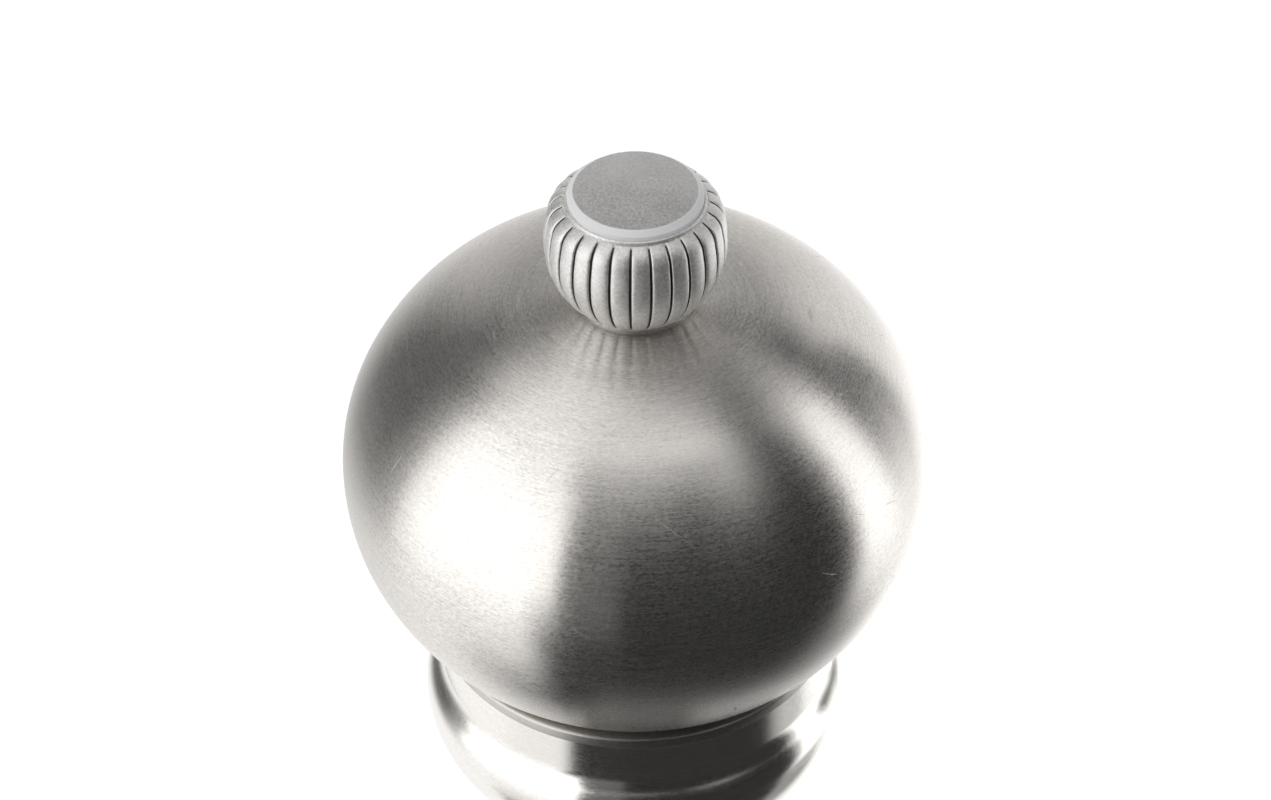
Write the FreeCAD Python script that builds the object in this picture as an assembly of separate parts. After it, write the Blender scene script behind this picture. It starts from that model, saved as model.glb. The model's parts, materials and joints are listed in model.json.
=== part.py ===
import FreeCAD, Part
import math
import os

# Salt mill with a spun steel body and a twist head, in millimetres. +Z is up, the mill stands on
# z = 0 and turns about the Z axis. Turned pieces are given by the corners (radius, height, round)
# of their half section.

os.makedirs("parts", exist_ok=True)

V = FreeCAD.Vector
ORIGIN = V(0, 0, 0)
UP = V(0, 0, 1)
EAST = V(1, 0, 0)
NORTH = V(0, 1, 0)

# Aids to modelling
TINY = 1e-6
CUT = 1.0           # how far a cutting body reaches past the face it cuts
ROOT = 1.0          # how far a rib, arm or lug reaches into the wall it grows from

# Clearances
RUN = 0.05          # radial gap of a running fit, and of a piece pressed or dropped into its seat
FACE_GAP = 0.05     # gap between faces that turn against each other
SEAM = 0.3          # open seam above and below the grip ring
SCREW_PLAY = 0.25   # radial gap around a screw in the sheet it clamps

# Foot
FOOT_INSET = 2.0    # from the grip ring's outside in to the foot's
FOOT_T = 2.6
FOOT_HOLE_R = 13.0
FOOT_RIM = 4.5      # width of the ring that stands on the table
FOOT_LAND = 2.0     # width of the land around the outlet
FOOT_HOLLOW = 0.7   # depth of the hollow between them
FOOT_EDGE = 0.5     # bevel of its outer edges

# Grip ring that sets the grind
GRIP_R = 32.5
GRIP_H = 9.6
GRIP_WALL = 1.2
GRIP_EDGE = 0.5     # bevel of its outer edges
GRIP_BAND = 2.0     # plain band above and below the cove
GRIP_COVE = 0.9     # depth of the cove's two slopes where they would meet
GRIP_COVE_ROUND = 8.0

# Body shell, heights from its lower edge or drops from its upper edge
SHEET = 0.8
SHELL_H = 151.1
BASE_INSET = 0.3    # from the grip ring's outside in to the shell's
BASE_BAND_H = 7.2
BASE_ROUND = 4.0
FLARE_R = 23.5
FLARE_H = 12.2
FLARE_ROUND = 14.0
WAIST_GAP = 0.3     # from the hopper to the shell where the waist's two slopes would meet
WAIST_H = 100.0
WAIST_ROUND = 500.0
CUP_OUT = 0.2       # from the waist out to the foot of the cup
CUP_DROP = 22.8
CUP_ROUND = 14.2
BEAD_OUT = 1.76     # from the neck out to the bead
BEAD_DROP = 13.05
BEAD_ROUND = 10.5
BEAD_TOP_DROP = 8.1
BEAD_TOP_ROUND = 3.45
NECK_DROP = 7.0
NECK_ROUND = 0.5

# Mouth ring in the top of the body
RIM_OUT = 0.5       # from the neck out to the rim
RIM_T = 1.4
RIM_EDGE = 0.25     # bevel of its upper edge
MOUTH_R = 18.0
MOUTH_WALL = 2.45
MOUTH_SKIRT = 13.9  # length inside the shell
FUNNEL_H = 3.5
GLIDE_W = 2.25
GLIDE_T = 0.6

# Salt hopper
LINER_R = 14.5
LINER_WALL = 1.0
LINER_SOCKET = 4.0

# Head shell, heights from its widest level
HEAD_R = 31.0
HEAD_DEPTH = 20.2
HEAD_EDGE_IN = 1.04 # from the rim in to the head's lower edge
HEAD_EDGE_ROUND = 1.2
HEAD_LIP_GAP = 0.15
CHIN_IN = 5.04      # corners of the lower curve, measured in from the widest radius
CHIN_DROP = 16.09
CHIN_ROUND = 28.0
BELLY_DROP = 5.285
BELLY_ROUND = 23.8
CHEEK_RISE = 4.642
CHEEK_ROUND = 20.9
BROW_IN = 4.46
BROW_RISE = 14.2
BROW_ROUND = 26.2
DOME_IN = 13.03
DOME_RISE = 21.3
DOME_ROUND = 16.2
NECK_FOOT_R = 6.1
NECK_FOOT_RISE = 22.12
NECK_FOOT_ROUND = 0.9
CROWN_LAND = 0.6    # width of the flat around the crown's hole
CROWN_RISE = 22.5

# Head core and spigot
SPIGOT_L = 8.4      # reach below the head's lower edge
SPIGOT_WALL = 1.95
SPIGOT_EDGE = 0.5
CORE_INSET = 0.7    # from the shell's lower edge in to the disc
CORE_T = 3.0
CORE_WEB = 3.7
CORE_TUBE_R = 7.0
CORE_BORE_PLAY = 0.36
CORE_TUBE_GAP = 1.7  # from the tube's end up to the crown
CORE_RIBS = 6
CORE_RIB_T = 1.6
CORE_RIB_H = 20.0
CORE_RIB_IN = 1.0   # from the disc's edge in to the ribs
DRIVE_PLATE_R = 12.0
DRIVE_PLATE_T = 1.5
DRIVE_SCREW_CIRCLE = 8.5
BUSH_WALL = 0.5
BUSH_FLANGE_T = 0.5
BUSH_INSET = 0.3    # from the crown's edge in to the flange
BUSH_L = 8.0

# Screws, three in each set
SCREWS = 3
SCREW_R = 1.1
SCREW_L = 8.0
SCREW_HEAD_R = 1.9
SCREW_HEAD_T = 1.0
FOOT_SCREW_START = 60.0
DRIVE_SCREW_START = 30.0

# Knob, heights from its lower rim
KNOB_R = 9.38
KNOB_RIM_R = 6.41
KNOB_BELLY_LOW = 3.15
KNOB_BELLY_ROUND = 8.3
KNOB_SIDE_H = 7.85
KNOB_SIDE_ROUND = 10.0
KNOB_SHOULDER_R = 8.83
KNOB_SHOULDER_H = 11.25
KNOB_SHOULDER_ROUND = 2.4
KNOB_TOP_R = 7.45
KNOB_TOP_H = 11.7
KNOB_LIP_R = 7.28
KNOB_LIP_H = 12.15
KNOB_CHANNEL = 0.3  # depth of the channel around the lip
KNOB_RECESS_GAP = 0.1
KNOB_SKIRT = 0.9    # reach of the lower rim below the recess
KNOB_FLUTES = 27
FLUTE_W = 0.56      # width of a groove at the knob's surface
FLUTE_D = 0.5
FLUTE_FADE = 0.35   # how far the grooves run clear of the lower rim
CAP_R = 6.98
CAP_BEVEL = 0.57
CAP_BEVEL_H = 0.5
CAP_PROUD = 0.95    # top of the cap above the knob's lip
CAP_T = 2.4
WASHER_T = 0.6
WASHER_INSET = 0.4

# Drive shaft
SHAFT_W = 6.0
SHAFT_PLAY = 0.2    # from the shaft's corners to the crown bush
TIP_R = 2.5
TIP_L = 8.7         # from the slip washer's underside up
TIP_END_PLAY = 0.4
STUB_PROUD = 0.2
CLIP_GROOVE_RISE = 0.3  # from the shaft's flats to the bottom of the clip's groove
CLIP_R = 6.0
CLIP_T = 0.8
CLIP_OPENING = 70.0

# Burrs
BURR_H = 11.0
ROTOR_LOW_R = 11.6
ROTOR_TOP_R = 7.0
ROTOR_SKIRT = 2.4
ROTOR_FLUTES = 10
ROTOR_FLUTE_W = 2.6
ROTOR_FLUTE_D = 1.5
ROTOR_TWIST = 24.0
ROTOR_TEETH = 36
TOOTH_W = 0.8
TOOTH_D = 0.55
STATOR_R = 13.3
STATOR_LOW_R = 11.9
STATOR_TOP_R = 11.0
STATOR_TEETH = 24
STATOR_TOOTH_W = 1.1
STATOR_TOOTH_D = 0.7
STATOR_TWIST = -14.0
ROTOR_ABOVE_STATOR = 0.35
ROTOR_WASHER_R = 5.5
ROTOR_WASHER_T = 0.8
NUT_W = 8.0
NUT_T = 3.0

# Stator carrier, its lugs and the cams that lift them
CARRIER_LIP = 1.0
CARRIER_LIP_R = 12.5
LUGS = 3
LUG_W = 6.0
LUG_H = 3.0
LUG_LEAD_IN = 20.0
RACE_GAP = 0.4      # from the lugs' ends to the wall around the cams
CAM_FLOOR_H = 4.6   # ramp height over the cam ring's underside, under a lug at rest
CAM_RISE = 1.5
CAM_TURN = 90.0
CAM_LEAD_IN = 10.0
CAM_RACE_R = 25.6
CAM_TOP_DROP = 0.1
NOTCHES = 6
NOTCH_R = 0.9
NOTCH_SINK = 0.2
NOTCH_H = 3.2

# Mechanism housing
TUBE_WALL = 4.4
TUBE_TOP = 40.0
FLANGE_T = 3.0
FLANGE_LIFT = 0.3   # from the shell's lower edge to the flange
HOUSING_RIBS = 6
HOUSING_RIB_T = 2.0
HOUSING_RIB_W = 8.0
HOUSING_RIB_H = 14.0
LEDGE_Z = 27.0
LEDGE_T = 2.0
LEDGE_R = 13.6
SLOT_PLAY = 0.3
SLOT_TOP_PLAY = 0.4
PILOT_L = 9.0

# Bridge and the shaft's bearing in it
BRIDGE_T = 4.0
BRIDGE_HUB_WALL = 1.45
BRIDGE_ARMS = 3
BRIDGE_ARM_W = 2.4
BRIDGE_ARM_T = 3.0
COLLAR_WALL = 1.2
COLLAR_FLANGE = 1.1
COLLAR_FLANGE_T = 1.5
SPACER_WALL = 0.6

# Springs
SPRING_WIRE = 0.8
LEAF_GAP = 0.8      # from the wall around the cams in to the leaf
LEAF_T = 0.4
LEAF_H = 1.8
LEAF_DROP = 1.0     # from the flange down to the leaf
LEAF_START = 35.0
LEAF_END = 75.0
LEAF_NOSE_R = 0.75
LEAF_FOOT_W = 3.0

# Levels worked out from the foot upwards
GRIP_Z = FOOT_T + SEAM
SHELL_Z = GRIP_Z + GRIP_H + SEAM
SHELL_TOP = SHELL_Z + SHELL_H
RIM_Z = SHELL_TOP + RIM_T
HEAD_Z = RIM_Z + GLIDE_T
WIDE_Z = HEAD_Z + HEAD_DEPTH
CROWN_Z = WIDE_Z + CROWN_RISE
FLANGE_Z = SHELL_Z + FLANGE_LIFT
RAMP_Z = GRIP_Z + CAM_FLOOR_H
CARRIER_Z = RAMP_Z + FACE_GAP
STATOR_Z = CARRIER_Z + CARRIER_LIP
CARRIER_TOP = STATOR_Z + BURR_H
ROTOR_Z = STATOR_Z + ROTOR_ABOVE_STATOR
ROTOR_TOP = ROTOR_Z + BURR_H
NUT_Z = ROTOR_Z - ROTOR_WASHER_T - NUT_T
BRIDGE_Z = LEDGE_Z + LEDGE_T
LINER_Z = BRIDGE_Z + BRIDGE_T
COLLAR_Z = BRIDGE_Z - FACE_GAP - COLLAR_FLANGE_T
CLIP_Z = LINER_Z + 2 * FACE_GAP
MOUTH_Z = SHELL_TOP - MOUTH_SKIRT
LINER_TOP = MOUTH_Z + LINER_SOCKET
SPIGOT_Z = HEAD_Z - SPIGOT_L
CORE_Z = HEAD_Z + SHEET
WEB_Z = CORE_Z - CORE_WEB
PLATE_Z = WEB_Z - DRIVE_PLATE_T
WASHER_Z = CROWN_Z + BUSH_FLANGE_T + FACE_GAP
SHOULDER_Z = CROWN_Z
KNOB_CEILING = WASHER_Z + WASHER_T + FACE_GAP
KNOB_Z = KNOB_CEILING - KNOB_SKIRT
TIP_Z = WASHER_Z + TIP_L
CAP_TOP = KNOB_Z + KNOB_LIP_H + CAP_PROUD
TOTAL_H = CAP_TOP

# Radii that follow from a fit, from the hopper and the shaft outwards
FOOT_R = GRIP_R - FOOT_INSET
BASE_R = GRIP_R - BASE_INSET
NECK_R = MOUTH_R + MOUTH_WALL + RUN + SHEET
RIM_R = NECK_R + RIM_OUT
BEAD_R = NECK_R + BEAD_OUT
GLIDE_R = MOUTH_R + RUN + GLIDE_W
HEAD_EDGE_R = RIM_R - HEAD_EDGE_IN
DOME_R = HEAD_R - DOME_IN
SPIGOT_R = MOUTH_R - RUN
HEAD_LIP_R = SPIGOT_R + HEAD_LIP_GAP
CORE_R = HEAD_EDGE_R - CORE_INSET
LINER_OUT_R = LINER_R + LINER_WALL
TUBE_BORE_R = LINER_OUT_R + 2 * RUN
TUBE_R = TUBE_BORE_R + TUBE_WALL
BRIDGE_R = TUBE_BORE_R - 2 * RUN
CARRIER_R = TUBE_BORE_R - RUN
LUG_R = CAM_RACE_R - RACE_GAP
SPRING_R = (LEDGE_R + TUBE_BORE_R) / 2
LEAF_R = CAM_RACE_R - LEAF_GAP - LEAF_T / 2
WAIST_R = LINER_OUT_R + WAIST_GAP + SHEET
SHAFT_CORNER = SHAFT_W / math.sqrt(2)
SQUARE_HOLE = SHAFT_W + 2 * RUN
SQUARE_CORNER = SQUARE_HOLE / math.sqrt(2)
CLIP_GROOVE_R = SHAFT_W / 2 + CLIP_GROOVE_RISE
SPACER_R = SQUARE_CORNER + SPACER_WALL
COLLAR_R = SQUARE_CORNER + COLLAR_WALL
COLLAR_FLANGE_R = COLLAR_R + COLLAR_FLANGE
BRIDGE_HUB_R = COLLAR_R + RUN + BRIDGE_HUB_WALL
CORE_BORE_R = SHAFT_CORNER + CORE_BORE_PLAY
BUSH_R = SHAFT_CORNER + SHAFT_PLAY
BUSH_OUT_R = BUSH_R + BUSH_WALL
CROWN_HOLE_R = BUSH_OUT_R + RUN
CROWN_R = CROWN_HOLE_R + CROWN_LAND
BUSH_FLANGE_R = CROWN_R - BUSH_INSET
KNOB_RECESS_R = CROWN_R + KNOB_RECESS_GAP
WASHER_R = KNOB_RECESS_R - WASHER_INSET
FOOT_SCREW_CIRCLE = (TUBE_R + TUBE_BORE_R) / 2


def outline(corners, closed=False):
    """A wire in the XZ plane through corners (radius, height, round), each rounded by a tangent arc."""
    points = [V(c[0], 0, c[1]) for c in corners]
    count = len(points)
    reach = []
    for i, corner in enumerate(corners):
        rounding = corner[2] if len(corner) > 2 else 0
        inside = closed or 0 < i < count - 1
        if rounding <= 0 or not inside:
            reach.append(0)
            continue
        turn = half_angle(points[i - 1], points[i], points[(i + 1) % count])
        reach.append(rounding / math.tan(turn))
    shared = share_edges(points, reach, closed)
    ends = []
    arcs = []
    for i in range(count):
        here = points[i]
        if shared[i] <= 0:
            ends.append((here, here))
            arcs.append(None)
            continue
        back = (points[i - 1] - here).normalize()
        on = (points[(i + 1) % count] - here).normalize()
        half = back.getAngle(on) / 2
        rounding = shared[i] * math.tan(half)
        middle = here + (back + on).normalize() * (rounding / math.sin(half) - rounding)
        first = here + back * shared[i]
        last = here + on * shared[i]
        ends.append((first, last))
        arcs.append(Part.Arc(first, middle, last).toShape())
    edges = []
    for i in range(count):
        if arcs[i]:
            edges.append(arcs[i])
        if i == count - 1 and not closed:
            break
        start = ends[i][1]
        stop = ends[(i + 1) % count][0]
        if (stop - start).Length > TINY:
            edges.append(Part.makeLine(start, stop))
    return Part.Wire(edges)


def half_angle(before, corner, after):
    """Half the angle between the two edges that meet at a corner."""
    return (before - corner).getAngle(after - corner) / 2


def share_edges(points, reach, closed):
    """The tangent lengths, shortened where two rounds would need more than the edge between them."""
    count = len(points)
    scale = [1.0] * count
    for i in range(count if closed else count - 1):
        j = (i + 1) % count
        length = (points[j] - points[i]).Length
        wanted = reach[i] + reach[j]
        if wanted > length:
            scale[i] = min(scale[i], length / wanted)
            scale[j] = min(scale[j], length / wanted)
    return [r * s for r, s in zip(reach, scale)]


def turned(corners):
    """A solid turned about Z from the corners of its closed half section."""
    return Part.Face(outline(corners, closed=True)).revolve(ORIGIN, UP, 360)


def tube(inner, outer, low, high):
    """A plain ring or sleeve."""
    return turned([(inner, low), (outer, low), (outer, high), (inner, high)])


def rod(radius, low, high, x=0, y=0):
    """A round bar parallel to Z."""
    return Part.makeCylinder(radius, high - low, V(x, y, low))


def square_bar(width, low, high):
    """A square bar on the Z axis."""
    return Part.makeBox(width, width, high - low, V(-width / 2, -width / 2, low))


def around(shape, count, start=0.0, step=None):
    """Copies of a shape at even angles about Z."""
    angle = 360.0 / count if step is None else step
    copies = []
    for i in range(count):
        copy = shape.copy()
        copy.rotate(ORIGIN, UP, start + i * angle)
        copies.append(copy)
    return copies


def on_circle(shape, radius):
    """A shape moved out from the axis along X."""
    copy = shape.copy()
    copy.translate(V(radius, 0, 0))
    return copy


def v_section(tip, out, across, width, depth):
    """A triangle with its tip at the bottom of a groove, as wide as the groove at the surface."""
    reach = depth + CUT
    side = across * (width / 2 * reach / depth)
    mouth = tip + out * reach
    return Part.Face(Part.makePolygon([tip, mouth + side, mouth - side, tip]))


def groove(width, depth, length, outward):
    """A V-shaped bar along Z whose tip points inwards, or outwards for a groove in a bore."""
    side = 1 if outward else -1
    tip = V(side * depth, 0, -length / 2)
    return v_section(tip, EAST * -side, NORTH, width, depth).extrude(UP * length)


def leaning_groove(bar, low, high, twist):
    """A groove bar laid along a cone from low to high, both (radius, height), and twisted on it."""
    bar.rotate(ORIGIN, EAST, twist)
    lean = math.degrees(math.atan2(high[0] - low[0], high[1] - low[1]))
    bar.rotate(ORIGIN, NORTH, lean)
    bar.translate(V((low[0] + high[0]) / 2, 0, (low[1] + high[1]) / 2))
    return bar


def screws(circle, head_z, start):
    """Three round-headed screws that point up, heads at head_z."""
    head = rod(SCREW_HEAD_R, head_z, head_z + SCREW_HEAD_T)
    shank = rod(SCREW_R, head_z + SCREW_HEAD_T, head_z + SCREW_HEAD_T + SCREW_L)
    one = on_circle(head.fuse(shank).removeSplitter(), circle)
    return Part.makeCompound(around(one, SCREWS, start))


def screw_holes(radius, circle, low, high, start):
    """Round holes for a set of screws."""
    return around(on_circle(rod(radius, low, high), circle), SCREWS, start)


def ramp_face(inner, outer, low, start):
    """A helical face that climbs by the cam's rate over one lug's share of the turn."""
    span = 360.0 / LUGS
    climb = CAM_RISE * span / CAM_TURN
    pitch = climb * 360.0 / span
    inside = Part.makeHelix(pitch, climb, inner).Edges[0]
    outside = Part.makeHelix(pitch, climb, outer).Edges[0]
    face = Part.makeRuledSurface(inside, outside)
    face.rotate(ORIGIN, UP, start)
    face.translate(V(0, 0, low))
    return face


def gusset(radius, width, floor, height, thickness):
    """A three-cornered rib on a floor, growing from a tube of the given radius."""
    side = Part.makePolygon([
        V(radius - ROOT, 0, floor - ROOT),
        V(radius + width, 0, floor - ROOT),
        V(radius + width, 0, floor),
        V(radius, 0, floor + height),
        V(radius - ROOT, 0, floor + height),
        V(radius - ROOT, 0, floor - ROOT),
    ])
    rib = Part.Face(side).extrude(NORTH * thickness)
    rib.translate(NORTH * (-thickness / 2))
    return rib


def sheet_metal(wire):
    """The solid that a wire in the XZ plane sweeps about Z, a sheet thick on its inner side."""
    section = wire.makeOffset2D(SHEET, fill=True, openResult=True)
    return section.revolve(ORIGIN, UP, 360).Solids[0]


# Foot, grip ring and housing

def foot_ring():
    """The fixed foot: a rim that stands on the table and a land around the outlet."""
    plate = turned([
        (FOOT_HOLE_R, 0),
        (FOOT_HOLE_R + FOOT_LAND, 0),
        (FOOT_HOLE_R + FOOT_LAND, FOOT_HOLLOW),
        (FOOT_R - FOOT_RIM, FOOT_HOLLOW),
        (FOOT_R - FOOT_RIM, 0),
        (FOOT_R - FOOT_EDGE, 0),
        (FOOT_R, FOOT_EDGE),
        (FOOT_R, FOOT_T - FOOT_EDGE),
        (FOOT_R - FOOT_EDGE, FOOT_T),
        (FOOT_HOLE_R, FOOT_T),
    ])
    head_top = FOOT_HOLLOW + SCREW_HEAD_T
    holes = screw_holes(SCREW_R + SCREW_PLAY, FOOT_SCREW_CIRCLE, 0, FOOT_T, FOOT_SCREW_START)
    sinks = screw_holes(SCREW_HEAD_R + SCREW_PLAY, FOOT_SCREW_CIRCLE, 0, head_top, FOOT_SCREW_START)
    return plate.cut(holes + sinks)


def foot_screws():
    """The screws that hold the foot to the housing tube."""
    return screws(FOOT_SCREW_CIRCLE, FOOT_HOLLOW, FOOT_SCREW_START)


def grip_ring():
    """The steel ring that the fingers turn, with a shallow cove."""
    inner = GRIP_R - GRIP_WALL
    top = GRIP_Z + GRIP_H
    middle = GRIP_Z + GRIP_H / 2
    return turned([
        (inner, GRIP_Z),
        (GRIP_R - GRIP_EDGE, GRIP_Z),
        (GRIP_R, GRIP_Z + GRIP_EDGE),
        (GRIP_R, GRIP_Z + GRIP_BAND),
        (GRIP_R - GRIP_COVE, middle, GRIP_COVE_ROUND),
        (GRIP_R, top - GRIP_BAND),
        (GRIP_R, top - GRIP_EDGE),
        (GRIP_R - GRIP_EDGE, top),
        (inner, top),
    ])


def cam_ring():
    """The ring under the lugs, with a ramp for each and the notches for the index spring."""
    outer = GRIP_R - GRIP_WALL - RUN
    top = GRIP_Z + GRIP_H - CAM_TOP_DROP
    ring = tube(TUBE_R + RUN, outer, GRIP_Z, top)
    race = tube(TUBE_R - CUT, CAM_RACE_R, GRIP_Z, top + CUT)
    spaces = []
    for i in range(LUGS):
        start = i * 360.0 / LUGS - CAM_LEAD_IN
        low = RAMP_Z - CAM_RISE * CAM_LEAD_IN / CAM_TURN
        face = ramp_face(TUBE_R - 2 * CUT, CAM_RACE_R + CUT, low, start)
        spaces.append(face.extrude(UP * GRIP_H))
    above = spaces[0].multiFuse(spaces[1:])
    ring = ring.cut(race.common(above))
    notch = rod(NOTCH_R, top - NOTCH_H, top + CUT, CAM_RACE_R + NOTCH_SINK)
    return ring.cut(around(notch, NOTCHES, LEAF_END, CAM_TURN / (NOTCHES - 1)))


def mechanism_housing():
    """The moulded tube that carries the mechanism, with the flange that closes the shell."""
    flange_r = BASE_R - SHEET - RUN
    body = turned([
        (TUBE_BORE_R, FOOT_T),
        (TUBE_R, FOOT_T),
        (TUBE_R, FLANGE_Z),
        (flange_r, FLANGE_Z),
        (flange_r, FLANGE_Z + FLANGE_T),
        (TUBE_R, FLANGE_Z + FLANGE_T),
        (TUBE_R, TUBE_TOP),
        (TUBE_BORE_R, TUBE_TOP),
        (TUBE_BORE_R, LEDGE_Z + LEDGE_T),
        (LEDGE_R, LEDGE_Z + LEDGE_T),
        (LEDGE_R, LEDGE_Z),
        (TUBE_BORE_R, LEDGE_Z),
    ])
    rib = gusset(TUBE_R, HOUSING_RIB_W, FLANGE_Z + FLANGE_T, HOUSING_RIB_H, HOUSING_RIB_T)
    body = body.multiFuse(around(rib, HOUSING_RIBS, 180.0 / HOUSING_RIBS)).removeSplitter()
    slot_w = LUG_W + 2 * SLOT_PLAY
    slot_top = CARRIER_Z + LUG_H + CAM_RISE + SLOT_TOP_PLAY
    slot = Part.makeBox(TUBE_R, slot_w, slot_top - FOOT_T, V(TUBE_BORE_R - CUT, -slot_w / 2, FOOT_T))
    pilots = screw_holes(SCREW_R + RUN, FOOT_SCREW_CIRCLE, FOOT_T, FOOT_T + PILOT_L, FOOT_SCREW_START)
    return body.cut(around(slot, LUGS) + pilots)


def bridge():
    """The spider over the burrs, whose hub is the shaft's bearing."""
    rim = tube(LEDGE_R, BRIDGE_R, BRIDGE_Z, LINER_Z)
    hub = tube(COLLAR_R + RUN, BRIDGE_HUB_R, BRIDGE_Z, LINER_Z)
    reach = LEDGE_R - BRIDGE_HUB_R + 2 * ROOT
    corner = V(BRIDGE_HUB_R - ROOT, -BRIDGE_ARM_W / 2, LINER_Z - BRIDGE_ARM_T)
    arm = Part.makeBox(reach, BRIDGE_ARM_W, BRIDGE_ARM_T, corner)
    return rim.multiFuse([hub] + around(arm, BRIDGE_ARMS)).removeSplitter()


def index_spring():
    """The leaf spring under the flange, whose nose rests in a notch of the cam ring."""
    top = FLANGE_Z
    low = top - LEAF_DROP - LEAF_H
    strip = Part.makeCylinder(LEAF_R + LEAF_T / 2, LEAF_H, V(0, 0, low), UP, LEAF_END - LEAF_START)
    strip = strip.cut(rod(LEAF_R - LEAF_T / 2, low, low + LEAF_H))
    strip.rotate(ORIGIN, UP, LEAF_START)
    foot = Part.makeBox(LEAF_FOOT_W, LEAF_FOOT_W, top - low, V(LEAF_R - LEAF_FOOT_W, 0, low))
    foot.rotate(ORIGIN, UP, LEAF_START)
    nose = rod(LEAF_NOSE_R, low, low + LEAF_H, CAM_RACE_R + NOTCH_SINK)
    neck = Part.makeBox(CAM_RACE_R + NOTCH_SINK - LEAF_R, LEAF_NOSE_R, LEAF_H, V(LEAF_R, -LEAF_NOSE_R / 2, low))
    tip = nose.fuse(neck)
    tip.rotate(ORIGIN, UP, LEAF_END)
    return strip.multiFuse([foot, tip]).removeSplitter()


def carrier_spring():
    """The space of the coil spring that holds the stator carrier down on the cams."""
    half = SPRING_WIRE / 2
    return tube(SPRING_R - half, SPRING_R + half, CARRIER_TOP, LEDGE_Z)


# Stator, carrier and the turning burr

def stator_carrier():
    """The sliding ring that holds the stator, with lugs that ride on the cams."""
    ring = turned([
        (CARRIER_LIP_R, CARRIER_Z),
        (CARRIER_R, CARRIER_Z),
        (CARRIER_R, CARRIER_TOP),
        (STATOR_R + RUN, CARRIER_TOP),
        (STATOR_R + RUN, STATOR_Z),
        (CARRIER_LIP_R, STATOR_Z),
    ])
    start = CARRIER_R - ROOT
    lead = CAM_RISE * LUG_LEAD_IN / CAM_TURN
    low = CARRIER_Z - lead
    lug = Part.makeBox(LUG_R - start, LUG_W, LUG_H + lead, V(start, -LUG_W / 2, low))
    under = ramp_face(start - CUT, LUG_R + CUT, low, -LUG_LEAD_IN)
    lug = lug.cut(under.extrude(UP * -LUG_H))
    return ring.multiFuse(around(lug, LUGS)).removeSplitter()


def stator():
    """The fixed burr: a ring with leaning teeth in its conical bore."""
    ring = turned([
        (STATOR_LOW_R, STATOR_Z),
        (STATOR_R, STATOR_Z),
        (STATOR_R, CARRIER_TOP),
        (STATOR_TOP_R, CARRIER_TOP),
    ])
    bar = groove(STATOR_TOOTH_W, STATOR_TOOTH_D, 2 * BURR_H, True)
    bar = leaning_groove(bar, (STATOR_LOW_R, STATOR_Z), (STATOR_TOP_R, CARRIER_TOP), STATOR_TWIST)
    return ring.cut(around(bar, STATOR_TEETH))


def rotor():
    """The turning burr: a cone with deep leaning flutes over a skirt of fine teeth."""
    skirt_top = ROTOR_Z + ROTOR_SKIRT
    cone = turned([
        (0, ROTOR_Z),
        (ROTOR_LOW_R, ROTOR_Z),
        (ROTOR_TOP_R, ROTOR_TOP),
        (0, ROTOR_TOP),
    ])
    slope = (ROTOR_TOP_R - ROTOR_LOW_R) / BURR_H
    skirt_r = ROTOR_LOW_R + slope * ROTOR_SKIRT
    flute = groove(ROTOR_FLUTE_W, ROTOR_FLUTE_D, 2 * BURR_H, False)
    flute = leaning_groove(flute, (skirt_r + ROTOR_FLUTE_D, skirt_top), (ROTOR_TOP_R, ROTOR_TOP), ROTOR_TWIST)
    tooth = groove(TOOTH_W, TOOTH_D, 2 * ROTOR_SKIRT, False)
    tooth = leaning_groove(tooth, (ROTOR_LOW_R, ROTOR_Z), (skirt_r, skirt_top), ROTOR_TWIST)
    cuts = around(flute, ROTOR_FLUTES) + around(tooth, ROTOR_TEETH)
    return cone.cut(cuts + [square_bar(SQUARE_HOLE, ROTOR_Z, ROTOR_TOP)])


def rotor_washer():
    """The washer under the rotor."""
    return tube(TIP_R + RUN, ROTOR_WASHER_R, ROTOR_Z - ROTOR_WASHER_T, ROTOR_Z)


def rotor_nut():
    """The hexagon nut that holds the rotor on the shaft."""
    corner = NUT_W / math.sqrt(3)
    hexagon = [V(corner * math.cos(math.radians(a)), corner * math.sin(math.radians(a)), NUT_Z)
               for a in range(0, 361, 60)]
    nut = Part.Face(Part.makePolygon(hexagon)).extrude(V(0, 0, NUT_T))
    return nut.cut(rod(TIP_R + RUN, NUT_Z, NUT_Z + NUT_T))


def drive_shaft():
    """The square shaft with its threaded tip, the stub for the rotor nut and the clip's groove."""
    bar = square_bar(SHAFT_W, ROTOR_Z, SHOULDER_Z)
    stub = rod(TIP_R, NUT_Z - STUB_PROUD, ROTOR_Z)
    tip = rod(TIP_R, SHOULDER_Z, TIP_Z)
    shaft = bar.multiFuse([stub, tip]).removeSplitter()
    return shaft.cut(tube(CLIP_GROOVE_R, SHAFT_W, CLIP_Z, CLIP_Z + CLIP_T))


def shaft_collar():
    """The flanged collar on the square shaft that turns in the bridge."""
    collar = turned([
        (0, COLLAR_Z),
        (COLLAR_FLANGE_R, COLLAR_Z),
        (COLLAR_FLANGE_R, COLLAR_Z + COLLAR_FLANGE_T),
        (COLLAR_R, COLLAR_Z + COLLAR_FLANGE_T),
        (COLLAR_R, CLIP_Z),
        (0, CLIP_Z),
    ])
    return collar.cut(square_bar(SQUARE_HOLE, COLLAR_Z, CLIP_Z))


def shaft_clip():
    """The open spring clip in the shaft's groove, on top of the collar."""
    ring = tube(CLIP_GROOVE_R + RUN, CLIP_R, CLIP_Z, CLIP_Z + CLIP_T)
    gap = Part.makeCylinder(CLIP_R + CUT, CLIP_T, UP * CLIP_Z, UP, CLIP_OPENING)
    return ring.cut(gap)


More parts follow.
